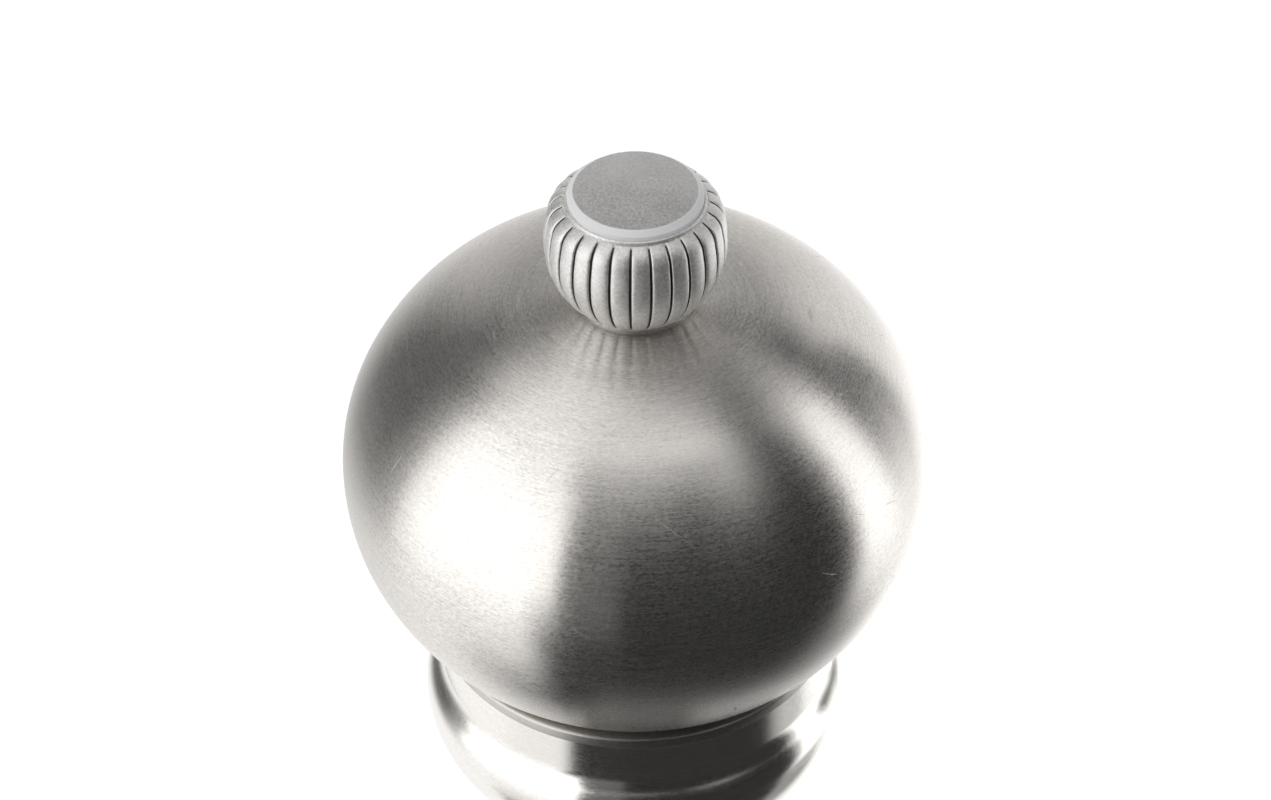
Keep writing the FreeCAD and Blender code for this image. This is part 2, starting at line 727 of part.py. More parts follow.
def spacer_sleeve():
    """The sleeve between the rotor and the collar."""
    return rod(SPACER_R, ROTOR_TOP, COLLAR_Z).cut(square_bar(SQUARE_HOLE, ROTOR_TOP, COLLAR_Z))


# Body shell, mouth and hopper

def body_shell():
    """The spun steel body: base band, flare, long waist, cup, bead and neck."""
    return sheet_metal(outline([
        (BASE_R, SHELL_Z),
        (BASE_R, SHELL_Z + BASE_BAND_H, BASE_ROUND),
        (FLARE_R, SHELL_Z + FLARE_H, FLARE_ROUND),
        (WAIST_R, SHELL_Z + WAIST_H, WAIST_ROUND),
        (WAIST_R + CUP_OUT, SHELL_TOP - CUP_DROP, CUP_ROUND),
        (BEAD_R, SHELL_TOP - BEAD_DROP, BEAD_ROUND),
        (BEAD_R, SHELL_TOP - BEAD_TOP_DROP, BEAD_TOP_ROUND),
        (NECK_R, SHELL_TOP - NECK_DROP, NECK_ROUND),
        (NECK_R, SHELL_TOP),
    ]))


def mouth_ring():
    """The ring in the body's top: bright rim, bore for the head's spigot and funnel to the hopper."""
    skirt_r = NECK_R - SHEET - RUN
    return turned([
        (MOUTH_R, RIM_Z),
        (RIM_R - RIM_EDGE, RIM_Z),
        (RIM_R, RIM_Z - RIM_EDGE),
        (RIM_R, SHELL_TOP),
        (skirt_r, SHELL_TOP),
        (skirt_r, MOUTH_Z),
        (LINER_OUT_R + RUN, MOUTH_Z),
        (LINER_OUT_R + RUN, LINER_TOP),
        (LINER_R, LINER_TOP),
        (MOUTH_R, LINER_TOP + FUNNEL_H),
    ])


def glide_ring():
    """The dark slip ring that the head turns on."""
    return tube(MOUTH_R + RUN, GLIDE_R, RIM_Z, HEAD_Z)


def hopper_liner():
    """The tube that holds the salt."""
    return tube(LINER_R, LINER_OUT_R, LINER_Z, LINER_TOP)


# Head

def head_shell():
    """The spun steel head: turned-in lip, lower curve, widest level, dome and small neck."""
    return sheet_metal(outline([
        (HEAD_LIP_R, HEAD_Z),
        (HEAD_EDGE_R, HEAD_Z, HEAD_EDGE_ROUND),
        (HEAD_R - CHIN_IN, WIDE_Z - CHIN_DROP, CHIN_ROUND),
        (HEAD_R, WIDE_Z - BELLY_DROP, BELLY_ROUND),
        (HEAD_R, WIDE_Z + CHEEK_RISE, CHEEK_ROUND),
        (HEAD_R - BROW_IN, WIDE_Z + BROW_RISE, BROW_ROUND),
        (DOME_R, WIDE_Z + DOME_RISE, DOME_ROUND),
        (NECK_FOOT_R, WIDE_Z + NECK_FOOT_RISE, NECK_FOOT_ROUND),
        (CROWN_R, CROWN_Z),
        (CROWN_HOLE_R, CROWN_Z),
    ]))


def head_core():
    """The moulded core of the head: spigot, web, disc, tube for the shaft and stiffening ribs."""
    tube_top = CROWN_Z - CORE_TUBE_GAP
    disc_top = CORE_Z + CORE_T
    core = turned([
        (CORE_BORE_R, WEB_Z),
        (SPIGOT_R - SPIGOT_WALL, WEB_Z),
        (SPIGOT_R - SPIGOT_WALL, SPIGOT_Z),
        (SPIGOT_R - SPIGOT_EDGE, SPIGOT_Z),
        (SPIGOT_R, SPIGOT_Z + SPIGOT_EDGE),
        (SPIGOT_R, CORE_Z),
        (CORE_R, CORE_Z),
        (CORE_R, disc_top),
        (CORE_TUBE_R, disc_top),
        (CORE_TUBE_R, tube_top),
        (BUSH_OUT_R + RUN, tube_top),
        (BUSH_OUT_R + RUN, CROWN_Z - BUSH_L),
        (CORE_BORE_R, CROWN_Z - BUSH_L),
    ])
    rib = gusset(CORE_TUBE_R, CORE_R - CORE_TUBE_R - CORE_RIB_IN, disc_top, CORE_RIB_H, CORE_RIB_T)
    core = core.multiFuse(around(rib, CORE_RIBS)).removeSplitter()
    pilot_top = PLATE_Z + SCREW_L + RUN
    return core.cut(screw_holes(SCREW_R + RUN, DRIVE_SCREW_CIRCLE, WEB_Z, pilot_top, DRIVE_SCREW_START))


def drive_plate():
    """The steel plate whose square hole takes the shaft."""
    plate = rod(DRIVE_PLATE_R, PLATE_Z, WEB_Z)
    holes = screw_holes(SCREW_R + RUN, DRIVE_SCREW_CIRCLE, PLATE_Z, WEB_Z, DRIVE_SCREW_START)
    return plate.cut(holes + [square_bar(SQUARE_HOLE, PLATE_Z, WEB_Z)])


def drive_plate_screws():
    """The screws that hold the drive plate under the core's web."""
    return screws(DRIVE_SCREW_CIRCLE, PLATE_Z - SCREW_HEAD_T, DRIVE_SCREW_START)


def crown_bush():
    """The flanged bush that lines the hole in the crown."""
    return turned([
        (BUSH_R, CROWN_Z - BUSH_L),
        (BUSH_OUT_R, CROWN_Z - BUSH_L),
        (BUSH_OUT_R, CROWN_Z),
        (BUSH_FLANGE_R, CROWN_Z),
        (BUSH_FLANGE_R, CROWN_Z + BUSH_FLANGE_T),
        (BUSH_R, CROWN_Z + BUSH_FLANGE_T),
    ])


# Knob

def knob_washer():
    """The slip washer between the head and the knob."""
    return tube(TIP_R + RUN, WASHER_R, WASHER_Z, WASHER_Z + WASHER_T)


def knob_side():
    """Corners of the knob's fluted side, from its lower rim to the channel around the lip."""
    return [
        (KNOB_RIM_R, KNOB_Z),
        (KNOB_R, KNOB_Z + KNOB_BELLY_LOW, KNOB_BELLY_ROUND),
        (KNOB_R, KNOB_Z + KNOB_SIDE_H, KNOB_SIDE_ROUND),
        (KNOB_SHOULDER_R, KNOB_Z + KNOB_SHOULDER_H, KNOB_SHOULDER_ROUND),
        (KNOB_TOP_R, KNOB_Z + KNOB_TOP_H),
    ]


def knob_flute():
    """A V groove that follows the knob's side and fades out at the lower rim."""
    side = knob_side()
    side[0] = (KNOB_RIM_R + FLUTE_FADE, KNOB_Z - FLUTE_FADE)
    stretches = []
    for edge in outline(side).Edges:
        start = edge.valueAt(edge.FirstParameter)
        along = edge.tangentAt(edge.FirstParameter)
        out = V(along.z, 0, -along.x)
        section = v_section(start - out * FLUTE_D, out, NORTH, FLUTE_W, FLUTE_D)
        if edge.Curve.TypeId == "Part::GeomLine":
            stretches.append(section.extrude(along * edge.Length))
        else:
            turn = math.degrees(edge.LastParameter - edge.FirstParameter)
            stretches.append(section.revolve(edge.Curve.Center, edge.Curve.Axis, turn))
    return stretches[0].multiFuse(stretches[1:]).removeSplitter()


def knob():
    """The fluted cast knob with its blind bore and the pocket for the cap."""
    pocket_z = CAP_TOP - CAP_T - RUN
    channel_z = KNOB_Z + KNOB_TOP_H - KNOB_CHANNEL
    body = turned([
        (0, KNOB_CEILING),
        (KNOB_RECESS_R, KNOB_CEILING),
        (KNOB_RECESS_R, KNOB_Z),
    ] + knob_side() + [
        (KNOB_TOP_R, channel_z),
        (KNOB_LIP_R, channel_z),
        (KNOB_LIP_R, KNOB_Z + KNOB_LIP_H),
        (CAP_R + RUN, KNOB_Z + KNOB_LIP_H),
        (CAP_R + RUN, pocket_z),
        (0, pocket_z),
    ])
    body = body.cut(rod(TIP_R + RUN, KNOB_CEILING, TIP_Z + TIP_END_PLAY))
    return body.cut(around(knob_flute(), KNOB_FLUTES))


def knob_cap():
    """The plain inlaid disc with its polished bevel."""
    return turned([
        (0, CAP_TOP - CAP_T),
        (CAP_R, CAP_TOP - CAP_T),
        (CAP_R, CAP_TOP - CAP_BEVEL_H),
        (CAP_R - CAP_BEVEL, CAP_TOP),
        (0, CAP_TOP),
    ])


PIECES = [
    foot_ring, foot_screws, mechanism_housing, bridge, index_spring, carrier_spring,
    grip_ring, cam_ring, stator_carrier, stator,
    drive_shaft, rotor, rotor_washer, rotor_nut, spacer_sleeve, shaft_collar, shaft_clip,
    body_shell, mouth_ring, glide_ring, hopper_liner,
    head_shell, head_core, drive_plate, drive_plate_screws, crown_bush,
    knob_washer, knob, knob_cap,
]


def main():
    print("total height", round(TOTAL_H, 3))
    for piece in PIECES:
        shape = piece()
        sound = all(s.isValid() and s.isClosed() for s in shape.Solids) and shape.Solids
        print(piece.__name__, len(shape.Solids), "solids", round(shape.Volume, 1), "mm3",
              "ok" if sound else "NOT SOUND")
        shape.exportStep("parts/" + piece.__name__ + ".step")


main()
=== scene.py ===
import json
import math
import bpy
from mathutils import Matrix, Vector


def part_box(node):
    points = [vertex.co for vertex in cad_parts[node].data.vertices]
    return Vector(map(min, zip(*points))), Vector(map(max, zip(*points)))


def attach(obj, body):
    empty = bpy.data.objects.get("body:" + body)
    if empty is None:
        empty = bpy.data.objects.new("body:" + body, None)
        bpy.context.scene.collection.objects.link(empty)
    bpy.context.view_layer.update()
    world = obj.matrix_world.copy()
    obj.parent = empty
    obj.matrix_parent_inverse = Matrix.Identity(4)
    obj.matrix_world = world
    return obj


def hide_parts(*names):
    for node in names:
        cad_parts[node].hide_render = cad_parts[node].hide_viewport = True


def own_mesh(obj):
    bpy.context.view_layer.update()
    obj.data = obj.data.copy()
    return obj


bl_info = {
    "name": "Steel Salt Mill",
    "version": (1, 0, 0),
    "blender": (4, 5, 0),
    "location": "3D Viewport > Sidebar > Salt Mill",
    "description": "Dresses the frame of a twist-head salt mill with turned, cast and moulded pieces",
    "category": "Object",
}

import bpy
from bpy.props import FloatProperty, FloatVectorProperty, IntProperty, PointerProperty
from mathutils import Vector

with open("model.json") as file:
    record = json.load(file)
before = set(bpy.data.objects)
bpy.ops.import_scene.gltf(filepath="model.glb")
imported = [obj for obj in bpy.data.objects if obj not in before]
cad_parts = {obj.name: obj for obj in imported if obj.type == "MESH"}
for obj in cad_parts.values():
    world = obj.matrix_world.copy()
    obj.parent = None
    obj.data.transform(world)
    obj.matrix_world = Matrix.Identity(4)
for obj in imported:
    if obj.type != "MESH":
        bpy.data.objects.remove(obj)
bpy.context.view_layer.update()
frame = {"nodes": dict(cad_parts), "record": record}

MM = 0.001
ORIGIN = (0.0, 0.0, 0.0)
UP = (0.0, 0.0, 1.0)
WELD = 0.5e-6              # vertices closer than this become one, in metres
SHARP = math.radians(32)   # edges that turn by more stay sharp

# Lowest and highest level and radius of the nodes that the pieces are fitted to, in millimetres
LEVELS = {node: [corner.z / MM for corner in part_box(node)] for node in (
    "head_shell", "body_shell", "mouth_ring", "grip_ring", "foot_ring", "hopper_liner", "crown_bush",
    "knob_washer", "knob", "knob_cap", "foot_screws", "drive_plate_screws", "drive_shaft", "shaft_clip",
    "rotor", "rotor_nut", "carrier_spring")}
RADII = {node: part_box(node)[1].x / MM for node in LEVELS}


class MillSizes(bpy.types.PropertyGroup):
    """Sizes of the pieces that show"""
    sheet: FloatProperty(
        name="Sheet", description="Thickness of the spun steel", default=0.8 * MM,
        min=0.3 * MM, max=1.5 * MM, unit="LENGTH", precision=5)
    head_radius: FloatProperty(
        name="Head Radius", description="Radius of the head at its widest",
        default=RADII["head_shell"] * MM, unit="LENGTH", precision=5)
    flutes: IntProperty(
        name="Flutes", description="Number of grooves around the knob", default=27, min=12, max=40)
    groove_depth: FloatProperty(
        name="Groove Depth", description="Depth of a knob groove", default=0.42 * MM,
        unit="LENGTH", precision=5)
    steps: IntProperty(
        name="Steps", description="Facets around the large turned pieces", default=240, min=48, max=360)


class MillFinish(bpy.types.PropertyGroup):
    """Colours and finishes"""
    steel: FloatVectorProperty(
        name="Steel", description="Colour of the brushed steel", subtype="COLOR",
        default=(0.76, 0.73, 0.695), min=0.0, max=1.0)
    # Painted highlight: the bevel's near-white colour stands in for the bright reflection of its polished
    # metal
    bright: FloatVectorProperty(
        name="Painted Highlight Edge", description="Colour of the bevel around the knob's disc", subtype="COLOR",
        default=(0.97, 0.97, 0.98), min=0.0, max=1.0)
    cast: FloatVectorProperty(
        name="Cast Metal", description="Colour of the knob", subtype="COLOR",
        default=(0.90, 0.89, 0.87), min=0.0, max=1.0)
    black: FloatVectorProperty(
        name="Moulded Black", description="Colour of the moulded pieces", subtype="COLOR",
        default=(0.028, 0.028, 0.030), min=0.0, max=1.0)
    stroke: FloatProperty(
        name="Stroke Width", description="Width of the brush strokes", default=0.16 * MM,
        unit="LENGTH", precision=5)


class MillStudio(bpy.types.PropertyGroup):
    """Camera and light"""
    distance: FloatProperty(
        name="Distance", description="From the camera to the point it looks at", default=0.45,
        unit="LENGTH")
    elevation: FloatProperty(
        name="Elevation", description="Angle of the view above the horizon",
        default=math.radians(41.25), subtype="ANGLE")
    lens: FloatProperty(
        name="Lens", description="Focal length", default=121.5, unit="CAMERA")


# Modelling by hand tools

def primitive(name, add, **size):
    """A primitive at the origin, in edit mode, with all of it selected."""
    bpy.ops.object.select_all(action="DESELECT")
    add(location=ORIGIN, **size)
    obj = bpy.context.object
    obj.name = obj.data.name = name
    bpy.ops.object.mode_set(mode="EDIT")
    bpy.ops.mesh.select_all(action="SELECT")
    return obj


def fresh(name):
    """One loose vertex at the origin, in edit mode, merged from a small plane."""
    bpy.context.tool_settings.mesh_select_mode = (True, False, False)
    obj = primitive(name, bpy.ops.mesh.primitive_plane_add, size=MM)
    bpy.ops.mesh.merge(type="CENTER")
    return obj


def rounded(corners, closed):
    """Each corner as (start, end, centre, turn) of its tangent arc, in metres in the XZ plane."""
    points = [Vector((c[0], 0.0, c[1])) * MM for c in corners]
    count = len(points)
    reach = [0.0] * count
    half = [0.0] * count
    for i, corner in enumerate(corners):
        if len(corner) < 3 or not (closed or 0 < i < count - 1):
            continue
        back = points[i - 1] - points[i]
        on = points[(i + 1) % count] - points[i]
        half[i] = back.angle(on) / 2
        reach[i] = corner[2] * MM / math.tan(half[i])
    share = [1.0] * count
    for i in range(count if closed else count - 1):
        j = (i + 1) % count
        length = (points[j] - points[i]).length
        if reach[i] + reach[j] > length:
            share[i] = min(share[i], length / (reach[i] + reach[j]))
            share[j] = min(share[j], length / (reach[i] + reach[j]))
    bends = []
    for i in range(count):
        here = points[i]
        span = reach[i] * share[i]
        if span <= 0.0:
            bends.append((here, here, here, 0.0))
            continue
        back = (points[i - 1] - here).normalized()
        on = (points[(i + 1) % count] - here).normalized()
        radius = span * math.tan(half[i])
        centre = here + (back + on).normalized() * (radius / math.sin(half[i]))
        turn = math.pi - 2 * half[i]
        side = 1.0 if back.cross(on).y > 0 else -1.0
        bends.append((here + back * span, here + on * span, centre, side * turn))
    return bends


def draw(corners, closed=False, fine=4.0):
    """Draws the outline from the loose vertex: lines by extrusion, arcs by spin."""
    bends = rounded(corners, closed)
    bpy.ops.transform.translate(value=bends[0][0])
    here = bends[0][0]
    for start, end, centre, turn in bends:
        if (start - here).length > WELD:
            bpy.ops.mesh.extrude_vertices_move(TRANSFORM_OT_translate={"value": start - here})
        if turn:
            steps = max(2, math.ceil(abs(math.degrees(turn)) / fine))
            bpy.ops.mesh.spin(steps=steps, angle=turn, center=centre, axis=(0.0, 1.0, 0.0))
        here = end
    if closed:
        bpy.ops.mesh.extrude_vertices_move(TRANSFORM_OT_translate={"value": bends[0][0] - here})
    bpy.ops.mesh.select_all(action="SELECT")
    bpy.ops.mesh.remove_doubles(threshold=WELD)


def close_up(obj):
    """Welds the mesh, turns its faces outwards and goes back to object mode."""
    bpy.ops.mesh.select_all(action="SELECT")
    bpy.ops.mesh.remove_doubles(threshold=WELD)
    bpy.ops.mesh.delete_loose(use_verts=True, use_edges=True, use_faces=False)
    bpy.ops.mesh.select_all(action="SELECT")
    bpy.ops.mesh.normals_make_consistent(inside=False)
    bpy.ops.object.mode_set(mode="OBJECT")
    return obj


def turned(name, corners, closed=True, steps=96, fine=4.0):
    """A piece turned about Z from the corners (radius, height, round) of its half section."""
    obj = fresh(name)
    draw(corners, closed, fine)
    bpy.ops.mesh.spin(steps=steps, angle=math.tau, center=ORIGIN, axis=UP)
    return close_up(obj)


def wall(obj, thickness):
    """Gives an open skin its thickness, inwards."""
    grow = obj.modifiers.new("Wall", "SOLIDIFY")
    grow.thickness = thickness
    grow.offset = -1.0
    grow.use_even_offset = True
    bpy.ops.object.modifier_apply(modifier=grow.name)


def pick(obj, *others):
    """Selects these objects alone, the first one active."""
    bpy.ops.object.select_all(action="DESELECT")
    for one in (obj, *others):
        one.select_set(True)
    bpy.context.view_layer.objects.active = obj


def join(obj, *others):
    """Makes one object of a piece and others, which are used up."""
    pick(obj, *others)
    bpy.ops.object.join()


def carve(obj, tool, how="DIFFERENCE"):
    """Cuts a closed piece with a tool, or keeps what both share; the tool is used up."""
    pick(obj)
    cut = obj.modifiers.new("Carve", "BOOLEAN")
    cut.operation = how
    cut.object = tool
    bpy.ops.object.modifier_apply(modifier=cut.name)
    bpy.data.objects.remove(tool)


def set_round(obj, count, circle, start):
    """Moves a finished mesh out to a circle, to an angle in degrees, and copies it round the Z axis."""
    pick(obj)
    bpy.ops.object.mode_set(mode="EDIT")
    bpy.ops.mesh.select_all(action="SELECT")
    angle = math.radians(start)
    bpy.ops.transform.translate(value=(circle * MM * math.cos(angle), circle * MM * math.sin(angle), 0.0))
    bpy.ops.mesh.spin(steps=count - 1, dupli=True, angle=math.tau * (count - 1) / count,
                      center=ORIGIN, axis=UP)
    bpy.ops.object.mode_set(mode="OBJECT")
    return obj


def wound(name, corners, lead, turns, steps=24, fine=30.0):
    """A closed section wound up a helix about Z, with its two ends filled."""
    obj = fresh(name)
    draw(corners, True, fine)
    bpy.ops.object.mode_set(mode="OBJECT")
    wind = obj.modifiers.new("Wind", "SCREW")
    wind.screw_offset = lead * MM
    wind.iterations = turns
    wind.steps = wind.render_steps = steps
    bpy.ops.object.modifier_apply(modifier=wind.name)
    bpy.ops.object.mode_set(mode="EDIT")
    bpy.ops.mesh.select_all(action="SELECT")
    bpy.ops.mesh.fill_holes(sides=0)
    return close_up(obj)


def thread(core, crest, low, turns):
    """The helical ridge of a screw thread, its root sunk in the core."""
    root = core - 0.1
    peak, top = low + THREAD_LEAD * 0.42, low + THREAD_LEAD * 0.84
    return wound("thread", [(root, low), (crest, peak), (root, top)], THREAD_LEAD, turns)


def fit_out(obj, body, nodes, slot, *finishes):
    """Shades a finished piece, gives it its finishes and sets it on its body."""
    pick(obj)
    bpy.ops.object.shade_smooth_by_angle(angle=SHARP)
    for finish in finishes:
        obj.data.materials.append(bpy.data.materials[finish])
    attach(obj, body)
    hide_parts(*nodes)


# Finishes

STROKE_DEPTH = 10.0e-6   # depth of the head's brushing, in metres
BALL_RADIUS = 0.03       # about the head's, so that its strokes are as wide as the body's


def node(tree, kind, **values):
    """A shader node; values go to its sockets or, where it has none of the name, to its properties."""
    made = tree.nodes.new(kind)
    for key, value in values.items():
        label = key.replace("_", " ").title()
        if label in made.inputs:
            wire(tree, value, made.inputs[label])
        else:
            setattr(made, key, value)
    return made


def wire(tree, value, socket):
    """Links an output to a socket, or writes a plain value on it."""
    if isinstance(value, bpy.types.NodeSocket):
        tree.links.new(value, socket)
    else:
        socket.default_value = value


def maths(tree, operation, *values):
    """The result of one operation on outputs or plain numbers."""
    made = tree.nodes.new("ShaderNodeMath")
    made.operation = operation
    for value, socket in zip(values, made.inputs):
        wire(tree, value, socket)
    return made.outputs[0]


def ramp(tree, value, low, high, to_low=0.0, to_high=1.0, kind="SMOOTHSTEP"):
    """A value's place between low and high, carried over to another range."""
    made = tree.nodes.new("ShaderNodeMapRange")
    made.interpolation_type = kind
    for key, item in (("Value", value), ("From Min", low), ("From Max", high),
                      ("To Min", to_low), ("To Max", to_high)):
        wire(tree, item, made.inputs[key])
    return made.outputs["Result"]


def mixed(tree, factor, first, second):
    """The first number at factor 0, the second at 1."""
    made = node(tree, "ShaderNodeMix", data_type="FLOAT")
    for socket, value in zip((made.inputs[0], made.inputs[2], made.inputs[3]), (factor, first, second)):
        wire(tree, value, socket)
    return made.outputs[0]


def new_group(name, inputs, outputs):
    """A shader node group whose sockets are floats, apart from the vector Place."""
    group = bpy.data.node_groups.new(name, "ShaderNodeTree")
    for label, default in inputs.items():
        kind = "NodeSocketVector" if label == "Place" else "NodeSocketFloat"
        socket = group.interface.new_socket(label, in_out="INPUT", socket_type=kind)
        if default is not None:
            socket.default_value = default
    for label in outputs:
        group.interface.new_socket(label, in_out="OUTPUT", socket_type="NodeSocketFloat")
    return group, group.nodes.new("NodeGroupInput").outputs, group.nodes.new("NodeGroupOutput").inputs


def from_axis(tree, split):
    """Distance from the Z axis."""
    return maths(tree, "SQRT", maths(tree, "ADD", maths(tree, "POWER", split["X"], 2.0),
                                     maths(tree, "POWER", split["Y"], 2.0)))


def strokes_group():
    """Brushing that runs round the Z axis: short grain and long streaks, told apart across the strokes
    by height and radius or, on a ball about a centre, by elevation."""
    group, given, put = new_group(
        "Turned Strokes", {"Place": None, "Centre": 0.0, "Ball": 0.0, "Width": 0.0002},
        ["Grain", "Streaks"])
    split = node(group, "ShaderNodeSeparateXYZ", vector=given["Place"]).outputs
    radius = from_axis(group, split)
    lift = maths(group, "SUBTRACT", split["Z"], given["Centre"])
    swept = maths(group, "MULTIPLY", maths(group, "ARCTAN2", lift, radius), BALL_RADIUS)
    across = mixed(group, given["Ball"], maths(group, "SUBTRACT", lift, radius), swept)
    across = maths(group, "DIVIDE", across, given["Width"])
    for label, stretch, detail in (("Grain", 3.0, 1.0), ("Streaks", 26.0, 2.0)):
        run = maths(group, "MULTIPLY", given["Width"], stretch)
        place = node(group, "ShaderNodeCombineXYZ", x=maths(group, "DIVIDE", split["X"], run),
                     y=maths(group, "DIVIDE", split["Y"], run), z=across)
        noise = node(group, "ShaderNodeTexNoise", vector=place.outputs[0], scale=1.0, detail=detail)
        wire(group, noise.outputs["Fac"], put[label])


def scratch_group():
    """Sparse short hairlines, thin across one direction and long along another."""
    group, given, put = new_group(
        "Hairlines", {"Place": None, "Width": 0.0003, "Length": 0.006, "Amount": 0.2}, ["Marks"])
    lines = None
    for turn, seed in ((0.9, 3.7), (-0.7, 11.3)):
        split = node(group, "ShaderNodeVectorRotate", vector=given["Place"], rotation_type="EULER_XYZ",
                     rotation=(0.5, turn, 0.4)).outputs[0]
        split = node(group, "ShaderNodeSeparateXYZ", vector=split).outputs
        place = node(group, "ShaderNodeCombineXYZ",
                     x=maths(group, "ADD", maths(group, "DIVIDE", split["X"], given["Width"]), seed),
                     y=maths(group, "DIVIDE", split["Y"], given["Length"]),
                     z=maths(group, "DIVIDE", split["Z"], given["Length"]))
        noise = node(group, "ShaderNodeTexNoise", vector=place.outputs[0], scale=1.0, detail=0.0)
        limit = maths(group, "SUBTRACT", 0.9, maths(group, "MULTIPLY", given["Amount"], 0.4))
        mark = ramp(group, noise.outputs["Fac"], limit, maths(group, "ADD", limit, 0.05))
        lines = mark if lines is None else maths(group, "MAXIMUM", lines, mark)
    wire(group, lines, put["Marks"])


def mottle_group():
    """Soft clouds with fine specks, for wear, handling and castings."""
    group, given, put = new_group(
        "Soft Mottle", {"Place": None, "Cloud Size": 0.01, "Speck Size": 0.0003}, ["Clouds", "Specks"])
    for label, size, detail in (("Clouds", "Cloud Size", 3.0), ("Specks", "Speck Size", 2.0)):
        scale = maths(group, "DIVIDE", 1.0, given[size])
        noise = node(group, "ShaderNodeTexNoise", vector=given["Place"], scale=scale, detail=detail)
        wire(group, noise.outputs["Fac"], put[label])


def place_group(tree, name, **values):
    """A shared group in a material, fed with the object's own coordinates."""
    made = tree.nodes.new("ShaderNodeGroup")
    made.node_tree = bpy.data.node_groups[name]
    wire(tree, node(tree, "ShaderNodeTexCoord").outputs["Object"], made.inputs["Place"])
    for key, value in values.items():
        made.inputs[key.replace("_", " ").title()].default_value = value
    return made.outputs


def object_place(tree):
    """X, Y and Z in the object's own coordinates."""
    place = node(tree, "ShaderNodeTexCoord").outputs["Object"]
    return node(tree, "ShaderNodeSeparateXYZ", vector=place).outputs


def surface(name, **plain):
    """A new material with its Principled shader; plain values are set on the shader's sockets."""
    made = bpy.data.materials.new(name)
    made.use_nodes = True
    tree = made.node_tree
    shader = tree.nodes["Principled BSDF"]
    for key, value in plain.items():
        shader.inputs[key.replace("_", " ").title()].default_value = value
    return tree, shader.inputs


def blend_colours(tree, factor, first, second):
    """The first colour at factor 0, the second at 1."""
    made = tree.nodes.new("ShaderNodeMix")
    made.data_type = "RGBA"
    wire(tree, factor, made.inputs[0])
    wire(tree, (*first, 1.0), made.inputs[6])
    wire(tree, (*second, 1.0), made.inputs[7])
    return made.outputs[2]


def bump(tree, height, distance, sockets):
    """Tilts the surface by a height from 0 to 1, this many metres deep."""
    made = node(tree, "ShaderNodeBump", strength=1.0, distance=distance, height=height)
    wire(tree, made.outputs["Normal"], sockets["Normal"])


def shade(colour, factor):
    """A colour made darker or lighter."""
    return tuple(min(1.0, c * factor) for c in colour)


def brushed(name, colour, roughness, anisotropy, width, centre=0.0, ball=0.0, swing=0.27,
            depth=STROKE_DEPTH, hazy=None):
    """Brushed metal whose highlights stretch across the strokes. Its colour swings by a share either way,
    and it gets hazier from the first to the second of two heights where they are given."""
    tree, sockets = surface(name, metallic=1.0, anisotropic=anisotropy, anisotropic_rotation=0.25)
    strokes = place_group(tree, "Turned Strokes", centre=centre, ball=ball, width=width)
    wear = place_group(tree, "Soft Mottle", cloud_size=0.018, speck_size=width * 2.2)
    marks = maths(tree, "MULTIPLY", place_group(tree, "Hairlines")["Marks"], depth / STROKE_DEPTH)
    streaked, specked = 0.40, 0.22   # shares in the brushing
    brush = mixed(tree, streaked, strokes["Grain"], strokes["Streaks"])
    brush = mixed(tree, specked, brush, wear["Specks"])
    tone = ramp(tree, brush, 0.3, 0.7, 0.0, 1.0, "LINEAR")
    wire(tree, blend_colours(tree, tone, shade(colour, 1 - swing), shade(colour, 1 + swing)),
         sockets["Base Color"])
    rough = maths(tree, "ADD", ramp(tree, brush, 0.3, 0.7, roughness - 0.04, roughness + 0.04),
                  ramp(tree, wear["Clouds"], 0.35, 0.7, -0.012, 0.012))
    rough = maths(tree, "ADD", rough, maths(tree, "MULTIPLY", marks, 0.12))
    if hazy:
        rough = maths(tree, "ADD", rough, ramp(tree, object_place(tree)["Z"], *hazy, 0.0, 0.08))
    wire(tree, rough, sockets["Roughness"])
    tangent = node(tree, "ShaderNodeTangent", direction_type="RADIAL", axis="Z")
    wire(tree, tangent.outputs[0], sockets["Tangent"])
    relief = maths(tree, "SUBTRACT", brush, maths(tree, "MULTIPLY", marks, 0.8))
    bump(tree, relief, depth, sockets)


def drawn(name, colour, roughness):
    """Cold drawn bar with faint lines along its length."""
    tree, sockets = surface(name, metallic=1.0)
    split = object_place(tree)
    across, along = 5000.0, 90.0   # lines to the metre
    place = node(tree, "ShaderNodeCombineXYZ", x=maths(tree, "MULTIPLY", split["X"], across),
                 y=maths(tree, "MULTIPLY", split["Y"], across),
                 z=maths(tree, "MULTIPLY", split["Z"], along))
    lines = node(tree, "ShaderNodeTexNoise", vector=place.outputs[0], scale=1.0, detail=2.0).outputs["Fac"]
    wire(tree, blend_colours(tree, lines, shade(colour, 0.9), shade(colour, 1.08)), sockets["Base Color"])
    wire(tree, ramp(tree, lines, 0.3, 0.7, roughness - 0.06, roughness + 0.08), sockets["Roughness"])
    bump(tree, lines, 6.0e-6, sockets)


def polished(name, colour, roughness, metallic=1.0):
    """Polished metal with faint handling marks."""
    tree, sockets = surface(name, metallic=metallic)
    wear = place_group(tree, "Soft Mottle", cloud_size=0.006, speck_size=0.0004)
    wire(tree, blend_colours(tree, wear["Clouds"], shade(colour, 0.97), shade(colour, 1.02)),
         sockets["Base Color"])
    wire(tree, ramp(tree, wear["Specks"], 0.3, 0.75, roughness * 0.8, roughness * 1.4),
         sockets["Roughness"])


